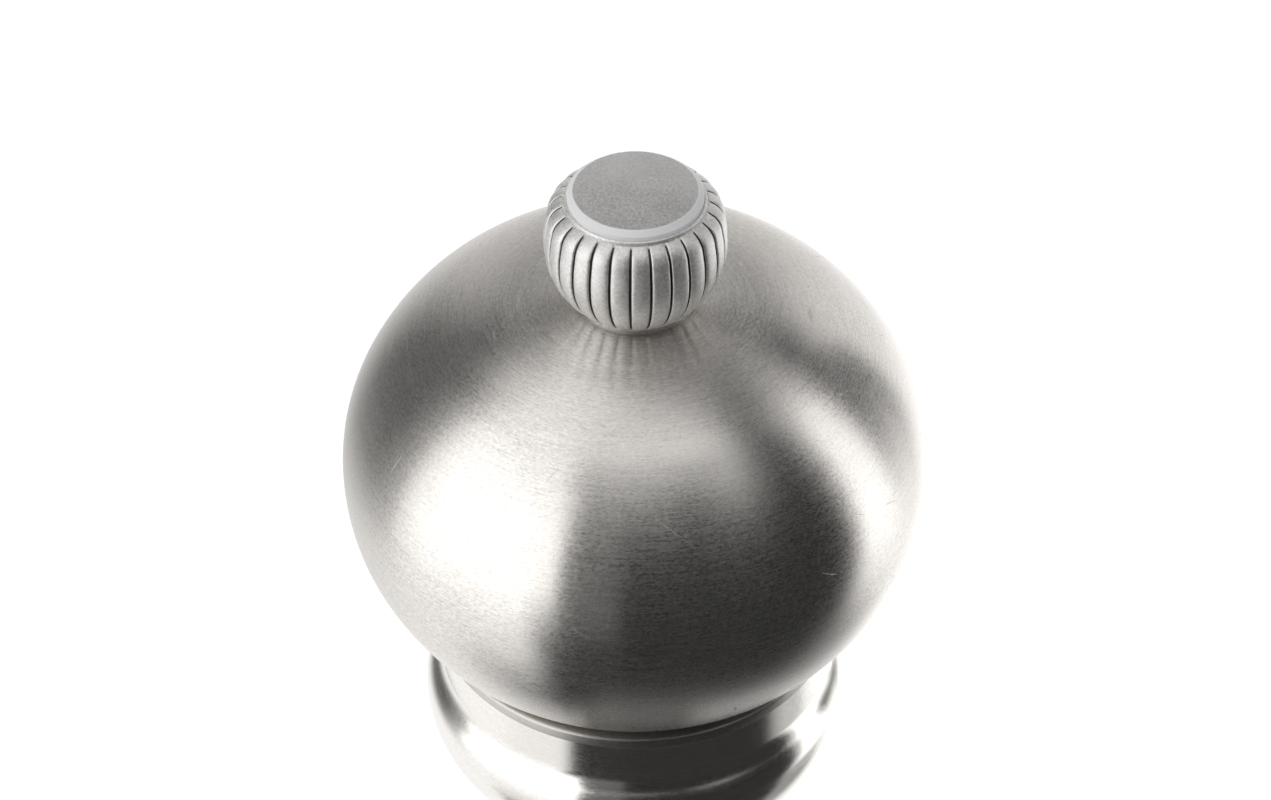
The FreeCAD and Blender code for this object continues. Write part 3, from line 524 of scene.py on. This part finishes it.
def cast(name, colour, roughness, pits=0.004e-3, metallic=1.0, darkest=0.88):
    """Cast or sintered metal, mottled down to a share of its colour, with pits of a depth in metres."""
    tree, sockets = surface(name, metallic=metallic)
    grain = place_group(tree, "Soft Mottle", cloud_size=0.004, speck_size=0.00028)
    tone = mixed(tree, 0.6, grain["Clouds"], grain["Specks"])
    tone = ramp(tree, tone, 0.35, 0.65, 0.0, 1.0, "LINEAR")
    wire(tree, blend_colours(tree, tone, shade(colour, darkest), shade(colour, 1.10)),
         sockets["Base Color"])
    wire(tree, ramp(tree, grain["Specks"], 0.3, 0.7, roughness - 0.05, roughness + 0.06),
         sockets["Roughness"])
    bump(tree, grain["Specks"], pits, sockets)


def moulded(name, colour, roughness, grain_size=0.0003, grain_depth=0.006e-3):
    """Moulded plastic with a fine grain, whose size and depth are in metres."""
    tree, sockets = surface(name)
    grain = place_group(tree, "Soft Mottle", cloud_size=0.012, speck_size=grain_size)
    wire(tree, blend_colours(tree, grain["Clouds"], shade(colour, 0.85), shade(colour, 1.15)),
         sockets["Base Color"])
    wire(tree, ramp(tree, grain["Specks"], 0.3, 0.7, roughness - 0.04, roughness + 0.05),
         sockets["Roughness"])
    bump(tree, grain["Specks"], grain_depth, sockets)


class MILL_OT_finishes(bpy.types.Operator):
    """Make the steel, cast metal and plastic finishes"""
    bl_idname = "mill.finishes"
    bl_label = "Finishes"

    def execute(self, context):
        finish = context.scene.mill_finish
        steel, alloy, black = tuple(finish.steel), tuple(finish.cast), tuple(finish.black)
        strokes_group()
        scratch_group()
        mottle_group()
        middle = WIDE * MM
        crown = middle + 19.0 * MM, middle + 22.0 * MM
        brushed("Brushed Head", steel, roughness=0.29, anisotropy=0.86, width=finish.stroke,
                centre=middle, ball=1.0, hazy=crown)
        # The body's steel is painted 1.22 times lighter than the head's, in place of the brighter light in
        # its reflections
        brushed("Brushed Body Painted Lighter", shade(steel, 1.22), roughness=0.20, anisotropy=0.70,
                width=finish.stroke, swing=0.10, depth=5.0e-6)
        brushed("Brushed Rim", shade(steel, 0.80), roughness=0.36, anisotropy=0.60,
                width=finish.stroke, swing=0.12)
        drawn("Drawn Bar", shade(steel, 0.92), roughness=0.30)
        cast("Satin Disc", shade(alloy, 0.90), roughness=0.36, pits=0.006e-3)
        # Painted highlight: a white bevel that is not metallic, in place of the bevel's bright reflection
        polished("Bevel Painted Highlight", tuple(finish.bright), roughness=0.45, metallic=0.0)
        polished("Plain Stainless", shade(steel, 1.05), roughness=0.26)
        polished("Spring Wire", shade(steel, 0.85), roughness=0.30)
        cast("Cast Knob", alloy, roughness=0.50, pits=0.016e-3, metallic=0.82, darkest=0.80)
        # Painted shade: a dark brown colour in place of the shadow inside the knob's grooves
        cast("Knob Groove Painted Shade", (0.15, 0.13, 0.11), roughness=0.55)
        cast("Sintered Burr", shade(steel, 0.62), roughness=0.48, pits=0.012e-3)
        moulded("Moulded Black", black, roughness=0.46)
        moulded("Slip Plastic", shade(black, 1.25), roughness=0.36, grain_size=0.0006, grain_depth=0.002e-3)
        moulded("Pale Liner", (0.72, 0.73, 0.74), roughness=0.34, grain_depth=0.002e-3)
        return {"FINISHED"}


# Head and body shells

HEAD_Z = LEVELS["head_shell"][0]
WIDE = HEAD_Z + 20.2   # level at which the head is widest
SHELL_Z, SHELL_TOP = LEVELS["body_shell"]
RIM_Z = LEVELS["mouth_ring"][1]


class MILL_OT_head_shell(bpy.types.Operator):
    """Turn the ball-shaped head and give the sheet its thickness"""
    bl_idname = "mill.head_shell"
    bl_label = "Head Shell"

    def execute(self, context):
        sizes = context.scene.mill_sizes
        wide = sizes.head_radius / MM
        crown = RADII["crown_bush"] + 0.3
        obj = turned("spun_head", [
            (18.1, HEAD_Z), (20.76, HEAD_Z, 1.2), (wide - 5.04, WIDE - 16.09, 28.0),
            (wide, WIDE - 5.285, 23.8), (wide, WIDE + 4.642, 20.9), (wide - 4.46, WIDE + 14.2, 26.2),
            (17.97, WIDE + 21.3, 16.2), (6.1, WIDE + 22.12, 0.9), (crown, WIDE + 22.5), (5.0, WIDE + 22.5),
        ], closed=False, steps=sizes.steps, fine=2.0)
        wall(obj, sizes.sheet)
        fit_out(obj, "head", ["head_shell"], "brushed_shell", "Brushed Head")
        return {"FINISHED"}


class MILL_OT_body_shell(bpy.types.Operator):
    """Turn the body: base band, flare, waist, cup, bead and neck"""
    bl_idname = "mill.body_shell"
    bl_label = "Body Shell"

    def execute(self, context):
        sizes = context.scene.mill_sizes
        obj = turned("spun_body", [
            (32.2, SHELL_Z), (32.2, SHELL_Z + 7.2, 4.0), (23.5, SHELL_Z + 12.2, 14.0),
            (16.6, SHELL_Z + 100.0, 500.0), (16.8, SHELL_TOP - 22.8, 14.2),
            (23.06, SHELL_TOP - 13.05, 10.5), (23.06, SHELL_TOP - 7.85, 4.0),
            (21.3, SHELL_TOP - 5.9, 2.85), (21.3, SHELL_TOP),
        ], closed=False, steps=sizes.steps, fine=3.0)
        wall(obj, sizes.sheet)
        fit_out(obj, "body", ["body_shell"], "brushed_shell", "Brushed Body Painted Lighter")
        return {"FINISHED"}


class MILL_OT_rings(bpy.types.Operator):
    """Turn the bright mouth ring, the dark slip ring and the grip ring"""
    bl_idname = "mill.rings"
    bl_label = "Rings"

    def execute(self, context):
        steps = context.scene.mill_sizes.steps
        liner_top = LEVELS["hopper_liner"][1]
        skirt = LEVELS["mouth_ring"][0]
        rim = turned("bright_mouth", [
            (18.0, RIM_Z, 0.2), (21.8, RIM_Z, 0.3), (21.8, SHELL_TOP, 0.2), (20.45, SHELL_TOP),
            (20.45, skirt), (15.55, skirt), (15.55, liner_top), (14.5, liner_top, 0.1),
            (18.0, liner_top + 3.5, 0.3),
        ], steps=steps, fine=12.0)
        fit_out(rim, "body", ["mouth_ring"], "bright_rim", "Brushed Rim")
        slip = turned("slip_ring", [
            (18.05, RIM_Z), (20.3, RIM_Z), (20.3, HEAD_Z, 0.1), (18.05, HEAD_Z, 0.1),
        ], steps=steps)
        fit_out(slip, "body", ["glide_ring"], "slip_plastic", "Slip Plastic")
        low, high = LEVELS["grip_ring"]
        grip = turned("grip_band", [
            (31.3, low), (32.5, low, 0.6), (32.5, low + 2.0, 0.8), (31.6, (low + high) / 2, 8.0),
            (32.5, high - 2.0, 0.8), (32.5, high, 0.6), (31.3, high),
        ], steps=steps)
        # The grip band shares the body's steel, which is painted lighter in place of brighter light
        fit_out(grip, "selector", ["grip_ring"], "brushed_shell", "Brushed Body Painted Lighter")
        return {"FINISHED"}


# Foot, screws, shaft, nut and spring

THREAD_LEAD = 0.8
SCREW_CORE, SCREW_CREST = 0.9, 1.1   # radii of the screws' thread
STUD_CORE, STUD_CREST = 2.28, 2.5    # and of the thread at the shaft's ends
FOOT_SCREWS = (17.8, 60.0)           # radius of the circle of screws and the first one's angle, in degrees
PLATE_SCREWS = (8.5, 30.0)


def screws(name, low, circle, start):
    """Pan-head screws, heads down: one is turned, its cross sunk and its thread wound, and it is copied."""
    one = turned(name, [
        (0.0, low), (1.2, low, 0.5), (1.9, low + 0.6, 0.4), (1.9, low + 1.0), (SCREW_CORE, low + 1.0),
        (SCREW_CORE, low + 8.5), (0.5, low + 9.0), (0.0, low + 9.0),
    ], closed=False, steps=36, fine=15.0)
    cross = primitive("cross", bpy.ops.mesh.primitive_cube_add, size=0.4 * MM)
    bpy.ops.transform.resize(value=(1.0, 1.0, 3.0), center_override=ORIGIN)
    bpy.ops.mesh.select_all(action="DESELECT")
    bpy.context.tool_settings.mesh_select_mode = (False, False, True)
    bpy.ops.object.mode_set(mode="OBJECT")
    for face in cross.data.polygons:
        face.select = abs(face.normal.z) < 0.5
    bpy.ops.object.mode_set(mode="EDIT")
    bpy.ops.mesh.extrude_faces_move(TRANSFORM_OT_shrink_fatten={"value": 0.75 * MM})
    bpy.ops.mesh.select_all(action="SELECT")
    bpy.ops.transform.translate(value=(0.0, 0.0, low * MM))
    close_up(cross)
    carve(one, cross)
    join(one, thread(SCREW_CORE, SCREW_CREST, low + 1.2, 9))
    return set_round(one, 3, circle, start)


class MILL_OT_foot(bpy.types.Operator):
    """Turn the foot, sink the seats of its screws and set the screws in them"""
    bl_idname = "mill.foot"
    bl_label = "Foot"

    def execute(self, context):
        high = LEVELS["foot_ring"][1]
        edge = RADII["foot_ring"]
        outlet, sunk = 13.0, 0.7
        foot = turned("foot_plate", [
            (outlet, 0.0, 0.2), (15.0, 0.0, 0.2), (15.0, sunk, 0.15), (edge - 4.5, sunk, 0.15),
            (edge - 4.5, 0.0, 0.25), (edge, 0.0, 0.5), (edge, high, 0.5), (outlet, high, 0.3),
        ], steps=context.scene.mill_sizes.steps, fine=18.0)
        seat = turned("seat", [
            (0.0, -1.0), (2.15, -1.0), (2.15, 1.7), (1.35, 1.7), (1.35, high + 1.0), (0.0, high + 1.0),
        ], closed=False, steps=40)
        carve(foot, set_round(seat, 3, *FOOT_SCREWS))
        fit_out(foot, "body", ["foot_ring"], "moulded_black", "Moulded Black")
        three = screws("seat_screws", LEVELS["foot_screws"][0], *FOOT_SCREWS)
        fit_out(three, "body", ["foot_screws"], "screw_steel", "Plain Stainless")
        return {"FINISHED"}


class MILL_OT_shaft(bpy.types.Operator):
    """Bevel the square shaft, cut its clip groove, wind its threads and chamfer the nut"""
    bl_idname = "mill.shaft"
    bl_label = "Shaft and Nut"

    def execute(self, context):
        self.shaft()
        self.nut()
        return {"FINISHED"}

    def shaft(self):
        end, tip = LEVELS["drive_shaft"]
        low = LEVELS["rotor"][0]
        high = LEVELS["knob_washer"][0] - 0.55   # the square ends just under the washer
        clip_low, clip_high = LEVELS["shaft_clip"]
        side, sunk = 6.0, 0.6   # the round ends start this deep inside the square bar
        bar = primitive("square_shaft", bpy.ops.mesh.primitive_cube_add, size=MM)
        bpy.ops.transform.resize(value=(side, side, high - low), center_override=ORIGIN)
        bpy.ops.transform.translate(value=(0.0, 0.0, (high + low) / 2 * MM))
        bpy.ops.mesh.bevel(offset=0.3 * MM, segments=3, affect="EDGES")
        close_up(bar)
        carve(bar, turned("groove", [
            (3.3, clip_low), (5.5, clip_low), (5.5, clip_high), (3.3, clip_high)], steps=48))
        stub = turned("stub", [
            (0.0, end), (1.9, end), (STUD_CORE, end + 0.3), (STUD_CORE, low + sunk), (0.0, low + sunk),
        ], closed=False, steps=48)
        stud = turned("stud", [
            (0.0, high - sunk), (STUD_CORE, high - sunk), (STUD_CORE, tip - 0.4), (1.8, tip), (0.0, tip),
        ], closed=False, steps=48)
        join(bar, stub, stud, thread(STUD_CORE, STUD_CREST, end + 0.2, 4),
             thread(STUD_CORE, STUD_CREST, high + 0.3, 10))
        fit_out(bar, "drive", ["drive_shaft"], "shaft_steel", "Drawn Bar")

    def nut(self):
        low, high = LEVELS["rotor_nut"]
        across_flats = 8.0
        nut = primitive("chamfered_nut", bpy.ops.mesh.primitive_cylinder_add, vertices=6,
                        radius=across_flats / math.sqrt(3) * MM, depth=(high - low + 1.0) * MM)
        bpy.ops.transform.rotate(value=math.pi / 6, orient_axis="Z", center_override=ORIGIN)
        bpy.ops.transform.translate(value=(0.0, 0.0, (high + low) / 2 * MM))
        close_up(nut)
        carve(nut, turned("chamfer", [
            (2.56, low + 0.3), (2.86, low), (3.95, low), (4.7, low + 0.42), (4.7, high - 0.42),
            (3.95, high), (2.86, high), (2.56, high - 0.3)], steps=72), "INTERSECT")
        fit_out(nut, "drive", ["rotor_nut"], "screw_steel", "Plain Stainless")


class MILL_OT_plate_screws(bpy.types.Operator):
    """Set the screws that hold the drive plate to the head"""
    bl_idname = "mill.plate_screws"
    bl_label = "Plate Screws"

    def execute(self, context):
        three = screws("plate_screws", LEVELS["drive_plate_screws"][0], *PLATE_SCREWS)
        fit_out(three, "head", ["drive_plate_screws"], "screw_steel", "Plain Stainless")
        return {"FINISHED"}


class MILL_OT_spring(bpy.types.Operator):
    """Wind the spring over the stator, at one length, though the real one shortens as the selector turns"""
    bl_idname = "mill.spring"
    bl_label = "Carrier Spring"

    def execute(self, context):
        low, high = LEVELS["carrier_spring"]
        turns, gauge = 4, 0.8
        outer = RADII["carrier_spring"]
        inner, bend = outer - gauge, gauge / 2
        coil = wound("carrier_coil", [
            (inner, low, bend), (outer, low, bend), (outer, low + gauge, bend), (inner, low + gauge, bend),
        ], (high - low - gauge) / turns, turns, steps=48)
        fit_out(coil, "body", ["carrier_spring"], "spring_steel", "Spring Wire")
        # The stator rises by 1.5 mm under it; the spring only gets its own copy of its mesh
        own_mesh(coil)
        return {"FINISHED"}


# Knob

KNOB_Z = LEVELS["knob"][0]
RIB = (  # angle from the groove's middle as a share of the pitch, and how far in, in groove depths
    (0.030, 0.93), (0.060, 0.50), (0.090, 0.29), (0.13, 0.19), (0.21, 0.095), (0.34, 0.027), (0.5, 0.0),
)


class MILL_OT_knob(bpy.types.Operator):
    """Model one groove and rib of the knob, copy it round and close it with a turned top"""
    bl_idname = "mill.knob"
    bl_label = "Fluted Knob"

    def execute(self, context):
        sizes = context.scene.mill_sizes
        pitch = math.tau / sizes.flutes
        depth = sizes.groove_depth / MM
        widest = 9.38
        obj = fresh("fluted_knob")
        draw([
            (6.41, KNOB_Z), (widest, KNOB_Z + 3.15, 8.3), (widest, KNOB_Z + 7.85, 10.0),
            (8.83, KNOB_Z + 11.25, 2.4), (7.45, KNOB_Z + 11.7), (7.2, KNOB_Z + 11.3), (6.2, KNOB_Z + 9.5),
            (6.1, KNOB_Z + 0.6),
        ], closed=True, fine=5.0)
        angles = [share for share, _ in RIB] + [1.0 - share for share, _ in RIB[-2::-1]] + [1.0]
        drops = [drop for _, drop in RIB] + [drop for _, drop in RIB[-2::-1]] + [1.0]
        before = (0.0, 1.0)
        shrink = 1.0 - depth / widest
        bpy.ops.transform.resize(value=(shrink, shrink, 1.0), center_override=ORIGIN)
        for share, drop in zip(angles, drops):
            bpy.ops.mesh.spin(steps=1, angle=(share - before[0]) * pitch, center=ORIGIN, axis=UP)
            change = (1.0 - drop * depth / widest) / (1.0 - before[1] * depth / widest)
            bpy.ops.transform.resize(value=(change, change, 1.0), center_override=ORIGIN)
            before = (share, drop)
        bpy.ops.mesh.select_all(action="SELECT")
        bpy.ops.mesh.spin(steps=sizes.flutes - 1, dupli=True, angle=math.tau - pitch,
                          center=ORIGIN, axis=UP)
        bpy.ops.mesh.select_all(action="SELECT")
        bpy.ops.mesh.remove_doubles(threshold=WELD)
        close_up(obj)
        plain = turned("knob_top", [
            (6.41, KNOB_Z), (7.0, KNOB_Z + 10.9), (7.62, KNOB_Z + 11.5, 0.1), (7.28, KNOB_Z + 11.66, 0.08),
            (7.28, KNOB_Z + 12.15, 0.2), (7.01, KNOB_Z + 12.15, 0.06), (7.01, KNOB_Z + 10.65),
            (0.0, KNOB_Z + 10.65), (0.0, KNOB_Z + 9.4), (2.55, KNOB_Z + 9.4), (2.55, KNOB_Z + 0.9),
            (5.69, KNOB_Z + 0.9), (5.69, KNOB_Z),
        ], steps=108)
        join(obj, plain)
        fit_out(obj, "knob", ["knob"], "cast_knob", "Cast Knob", "Knob Groove Painted Shade")
        # The grooves get painted shade, dark on the side and below, but not inside the knob
        for face in obj.data.polygons:
            out = math.hypot(face.center.x, face.center.y) / MM
            share = math.atan2(face.center.y, face.center.x) / pitch % 1.0
            outside = out > 7.46 or out > 6.3 and face.center.z < (KNOB_Z + 9.0) * MM
            if outside and min(share, 1.0 - share) < RIB[1][0]:
                face.material_index = 1
        return {"FINISHED"}


class MILL_OT_cap(bpy.types.Operator):
    """Turn the plain inlaid disc, its bevel painted near white as a highlight"""
    bl_idname = "mill.cap"
    bl_label = "Knob Disc"

    def execute(self, context):
        low, high = LEVELS["knob_cap"]
        obj = turned("inlaid_disc", [
            (0.0, low), (6.98, low), (6.98, high - 0.5, 0.15), (6.41, high, 0.2), (0.0, high),
        ], steps=144, fine=8.0)
        fit_out(obj, "knob", ["knob_cap"], "satin_cap", "Satin Disc", "Bevel Painted Highlight")
        # Faces outside the flat get the bevel's white painted highlight
        flat = 6.3 * MM
        for face in obj.data.polygons:
            if math.hypot(face.center.x, face.center.y) > flat:
                face.material_index = 1
        return {"FINISHED"}


# Pieces that keep their frame shape

# The brushed shell slot gets the body's steel, which is painted lighter in place of brighter light
FINISH_OF_SLOT = {
    "brushed_shell": "Brushed Body Painted Lighter", "bright_rim": "Brushed Rim", "cast_knob": "Cast Knob",
    "satin_cap": "Satin Disc", "shaft_steel": "Drawn Bar", "burr_steel": "Sintered Burr",
    "screw_steel": "Plain Stainless", "spring_steel": "Spring Wire", "moulded_black": "Moulded Black",
    "slip_plastic": "Slip Plastic", "clear_liner": "Pale Liner",
}


class MILL_OT_inner_pieces(bpy.types.Operator):
    """Give the pieces that keep their frame shape their finishes"""
    bl_idname = "mill.inner_pieces"
    bl_label = "Inner Pieces"

    def execute(self, context):
        for piece in frame["record"]["subparts"]:
            mesh = frame["nodes"][piece["node"]].data
            mesh.materials.clear()
            mesh.materials.append(bpy.data.materials[FINISH_OF_SLOT[piece["material_slot"]]])
        return {"FINISHED"}


# Studio

def soft_box(tree, azimuth, elevation, centre, half, soft, low, low_fade, high, high_fade):
    """How far a direction falls on a panel with soft edges. The panel's angles are in degrees."""
    off = maths(tree, "SUBTRACT", azimuth, math.radians(centre))
    off = maths(tree, "ABSOLUTE", maths(tree, "WRAP", off, math.pi, -math.pi))
    side = ramp(tree, off, math.radians(half - soft), math.radians(half + soft), 1.0, 0.0)
    above = ramp(tree, elevation, math.radians(low - low_fade), math.radians(low + low_fade))
    below = ramp(tree, elevation, math.radians(high - high_fade), math.radians(high + high_fade), 1.0, 0.0)
    return maths(tree, "MULTIPLY", side, maths(tree, "MULTIPLY", above, below))


PANELS = (  # azimuth of the middle, half width, soft edge, lowest, fade, highest, fade, brightness
    (118, 372, 8, 48, 3, 68, 23, 1.56),       # ceiling
    (24, 61, 5, -82, 22, 54, 9, 0.03),        # dark front
    (-60, 35, 2, -13, 17, 41, 3, 2.05),       # large soft box on the left
    (106, 17, 2, -27, 23, 35, 4, 1.85),       # strip on the right
    (119, 13, 5, -13, 22, 39, 6, 0.19),       # flag beside the strip
    (-125, 28, 19, -24, 15, 55, 17, 0.16),    # flag behind the soft box
    (172, 45, 2, 36, 2, 51, 3, 0.0),          # dark edge of the ceiling
    (127, 54, 4, 48, 15, 73, 12, 0.15),       # dark part of the ceiling on the right
    (-17, 11, 2, -23, 12, 34, 3, 0.16),       # gap between the soft box and the dark front
    (157, 30, 3, -57, 7, -19, 6, 1.62),       # pale ground on the right
    (-55, 28, 9, -88, 10, -53, 9, 0.0),       # ground before the soft box
    (51, 10, 18, 34, 9, 52, 6, 0.93),         # pale patch at the top of the dark front
    (-24, 32, 25, 37, 2, 40, 19, 1.02),       # pale band above the soft box
    (98, 14, 6, -70, 10, -43, 6, 0.30),       # dark ground on the right
)
ROOM = 1.02        # brightness between the panels
SKY = 0.8          # share of the studio's light that the world gives
EYE_LEVEL = 0.18   # height from which the floor's directions are taken, in metres
FLOOR_TONE = 0.72
FLOOR_GLOW = 0.62  # what the camera sees of the floor's own light
AIM = 7.84         # height that the camera looks at above the head's widest level


def studio_group():
    """Brightness of the studio by azimuth, 0 towards the camera, and elevation, in radians."""
    group, given, put = new_group("Studio Light", {"Azimuth": 0.0, "Elevation": 0.0}, ["Light"])
    light = ROOM
    for *panel, strength in PANELS:
        mask = soft_box(group, given["Azimuth"], given["Elevation"], *panel)
        light = mixed(group, mask, light, strength)
    wire(group, light, put["Light"])


def studio_light(tree, split, elevation):
    """The studio's brightness in the direction of a separated vector."""
    made = node(tree, "ShaderNodeGroup", node_tree=bpy.data.node_groups["Studio Light"])
    azimuth = maths(tree, "ARCTAN2", split["X"], maths(tree, "MULTIPLY", split["Y"], -1.0))
    wire(tree, azimuth, made.inputs["Azimuth"])
    wire(tree, elevation, made.inputs["Elevation"])
    return made.outputs["Light"]


class MILL_OT_stage(bpy.types.Operator):
    """Set up the floor, the soft studio light and the camera"""
    bl_idname = "mill.stage"
    bl_label = "Studio"

    def execute(self, context):
        studio_group()
        self.world(context.scene)
        self.floor()
        self.camera(context.scene)
        return {"FINISHED"}

    def world(self, scene):
        """A white background to the camera, and the studio's panels to the mill"""
        world = bpy.data.worlds.new("Studio")
        world.use_nodes = True
        scene.world = world
        tree = world.node_tree
        tree.nodes.clear()
        split = node(tree, "ShaderNodeSeparateXYZ",
                     vector=node(tree, "ShaderNodeTexCoord").outputs["Generated"]).outputs
        light = studio_light(tree, split, maths(tree, "ARCSINE", split["Z"]))
        seen = node(tree, "ShaderNodeLightPath").outputs["Is Camera Ray"]
        light = maths(tree, "MULTIPLY", light, SKY)
        sky = node(tree, "ShaderNodeBackground", color=(1.0, 1.0, 1.0, 1.0),
                   strength=mixed(tree, seen, light, 1.0))
        out = node(tree, "ShaderNodeOutputWorld")
        tree.links.new(sky.outputs[0], out.inputs["Surface"])

    def floor(self):
        """A pale floor that takes the mill's shadow and shows the panels in reflections"""
        bpy.ops.object.select_all(action="DESELECT")
        bpy.ops.mesh.primitive_circle_add(vertices=96, radius=3.0, fill_type="NGON", location=ORIGIN)
        obj = bpy.context.object
        obj.name = "pale_floor"
        made = bpy.data.materials.new("Pale Floor")
        made.use_nodes = True
        tree = made.node_tree
        tree.nodes.clear()
        ray = node(tree, "ShaderNodeLightPath").outputs
        split = object_place(tree)
        light = studio_light(tree, split, maths(tree, "ARCTAN2", -EYE_LEVEL, from_axis(tree, split)))
        shine = maths(tree, "ADD", maths(tree, "MULTIPLY", ray["Is Camera Ray"], FLOOR_GLOW),
                      maths(tree, "MULTIPLY", ray["Is Glossy Ray"], light))
        tone = mixed(tree, ray["Is Glossy Ray"], FLOOR_TONE, 0.0)
        paint = node(tree, "ShaderNodeBsdfDiffuse", color=tone)
        glow = node(tree, "ShaderNodeEmission", strength=shine)
        both = node(tree, "ShaderNodeAddShader")
        tree.links.new(paint.outputs[0], both.inputs[0])
        tree.links.new(glow.outputs[0], both.inputs[1])
        out = node(tree, "ShaderNodeOutputMaterial")
        tree.links.new(both.outputs[0], out.inputs["Surface"])
        obj.data.materials.append(made)

    def camera(self, scene):
        """The camera, placed and set as it was fitted to the photograph"""
        studio = scene.mill_studio
        target = Vector((0.0, 0.0, (WIDE + AIM) * MM))
        tilt = studio.elevation
        place = target + Vector((0.0, -math.cos(tilt), math.sin(tilt))) * studio.distance
        bpy.ops.object.camera_add(location=place, rotation=(math.pi / 2 - tilt, 0.0, 0.0))
        camera = bpy.context.object
        camera.name = "camera"
        camera.data.sensor_width = 36.0
        camera.data.lens = studio.lens
        camera.data.clip_start = 0.01
        scene.camera = camera
        scene.view_settings.view_transform = "Standard"


class MILL_PT_panel(bpy.types.Panel):
    """The mill's tools and sizes in the sidebar"""
    bl_label = "Salt Mill"
    bl_idname = "MILL_PT_panel"
    bl_space_type = "VIEW_3D"
    bl_region_type = "UI"
    bl_category = "Salt Mill"

    def draw(self, context):
        for operator in OPERATORS:
            self.layout.operator(operator.bl_idname)
        for group in GROUPS:
            for name in GROUPS[group].__annotations__:
                self.layout.prop(getattr(context.scene, group), name)


GROUPS = {"mill_sizes": MillSizes, "mill_finish": MillFinish, "mill_studio": MillStudio}
OPERATORS = (
    MILL_OT_finishes, MILL_OT_head_shell, MILL_OT_body_shell, MILL_OT_rings, MILL_OT_foot, MILL_OT_shaft,
    MILL_OT_plate_screws, MILL_OT_spring, MILL_OT_knob, MILL_OT_cap, MILL_OT_inner_pieces, MILL_OT_stage,
)


def register():
    for cls in (*GROUPS.values(), *OPERATORS, MILL_PT_panel):
        bpy.utils.register_class(cls)
    for name, cls in GROUPS.items():
        setattr(bpy.types.Scene, name, PointerProperty(type=cls))


def unregister():
    for name in GROUPS:
        delattr(bpy.types.Scene, name)
    for cls in (MILL_PT_panel, *reversed(OPERATORS), *GROUPS.values()):
        bpy.utils.unregister_class(cls)


def main():
    register()
    for operator in OPERATORS:
        group, name = operator.bl_idname.split(".")
        getattr(getattr(bpy.ops, group), name)()


if __name__ == "__main__":
    main()
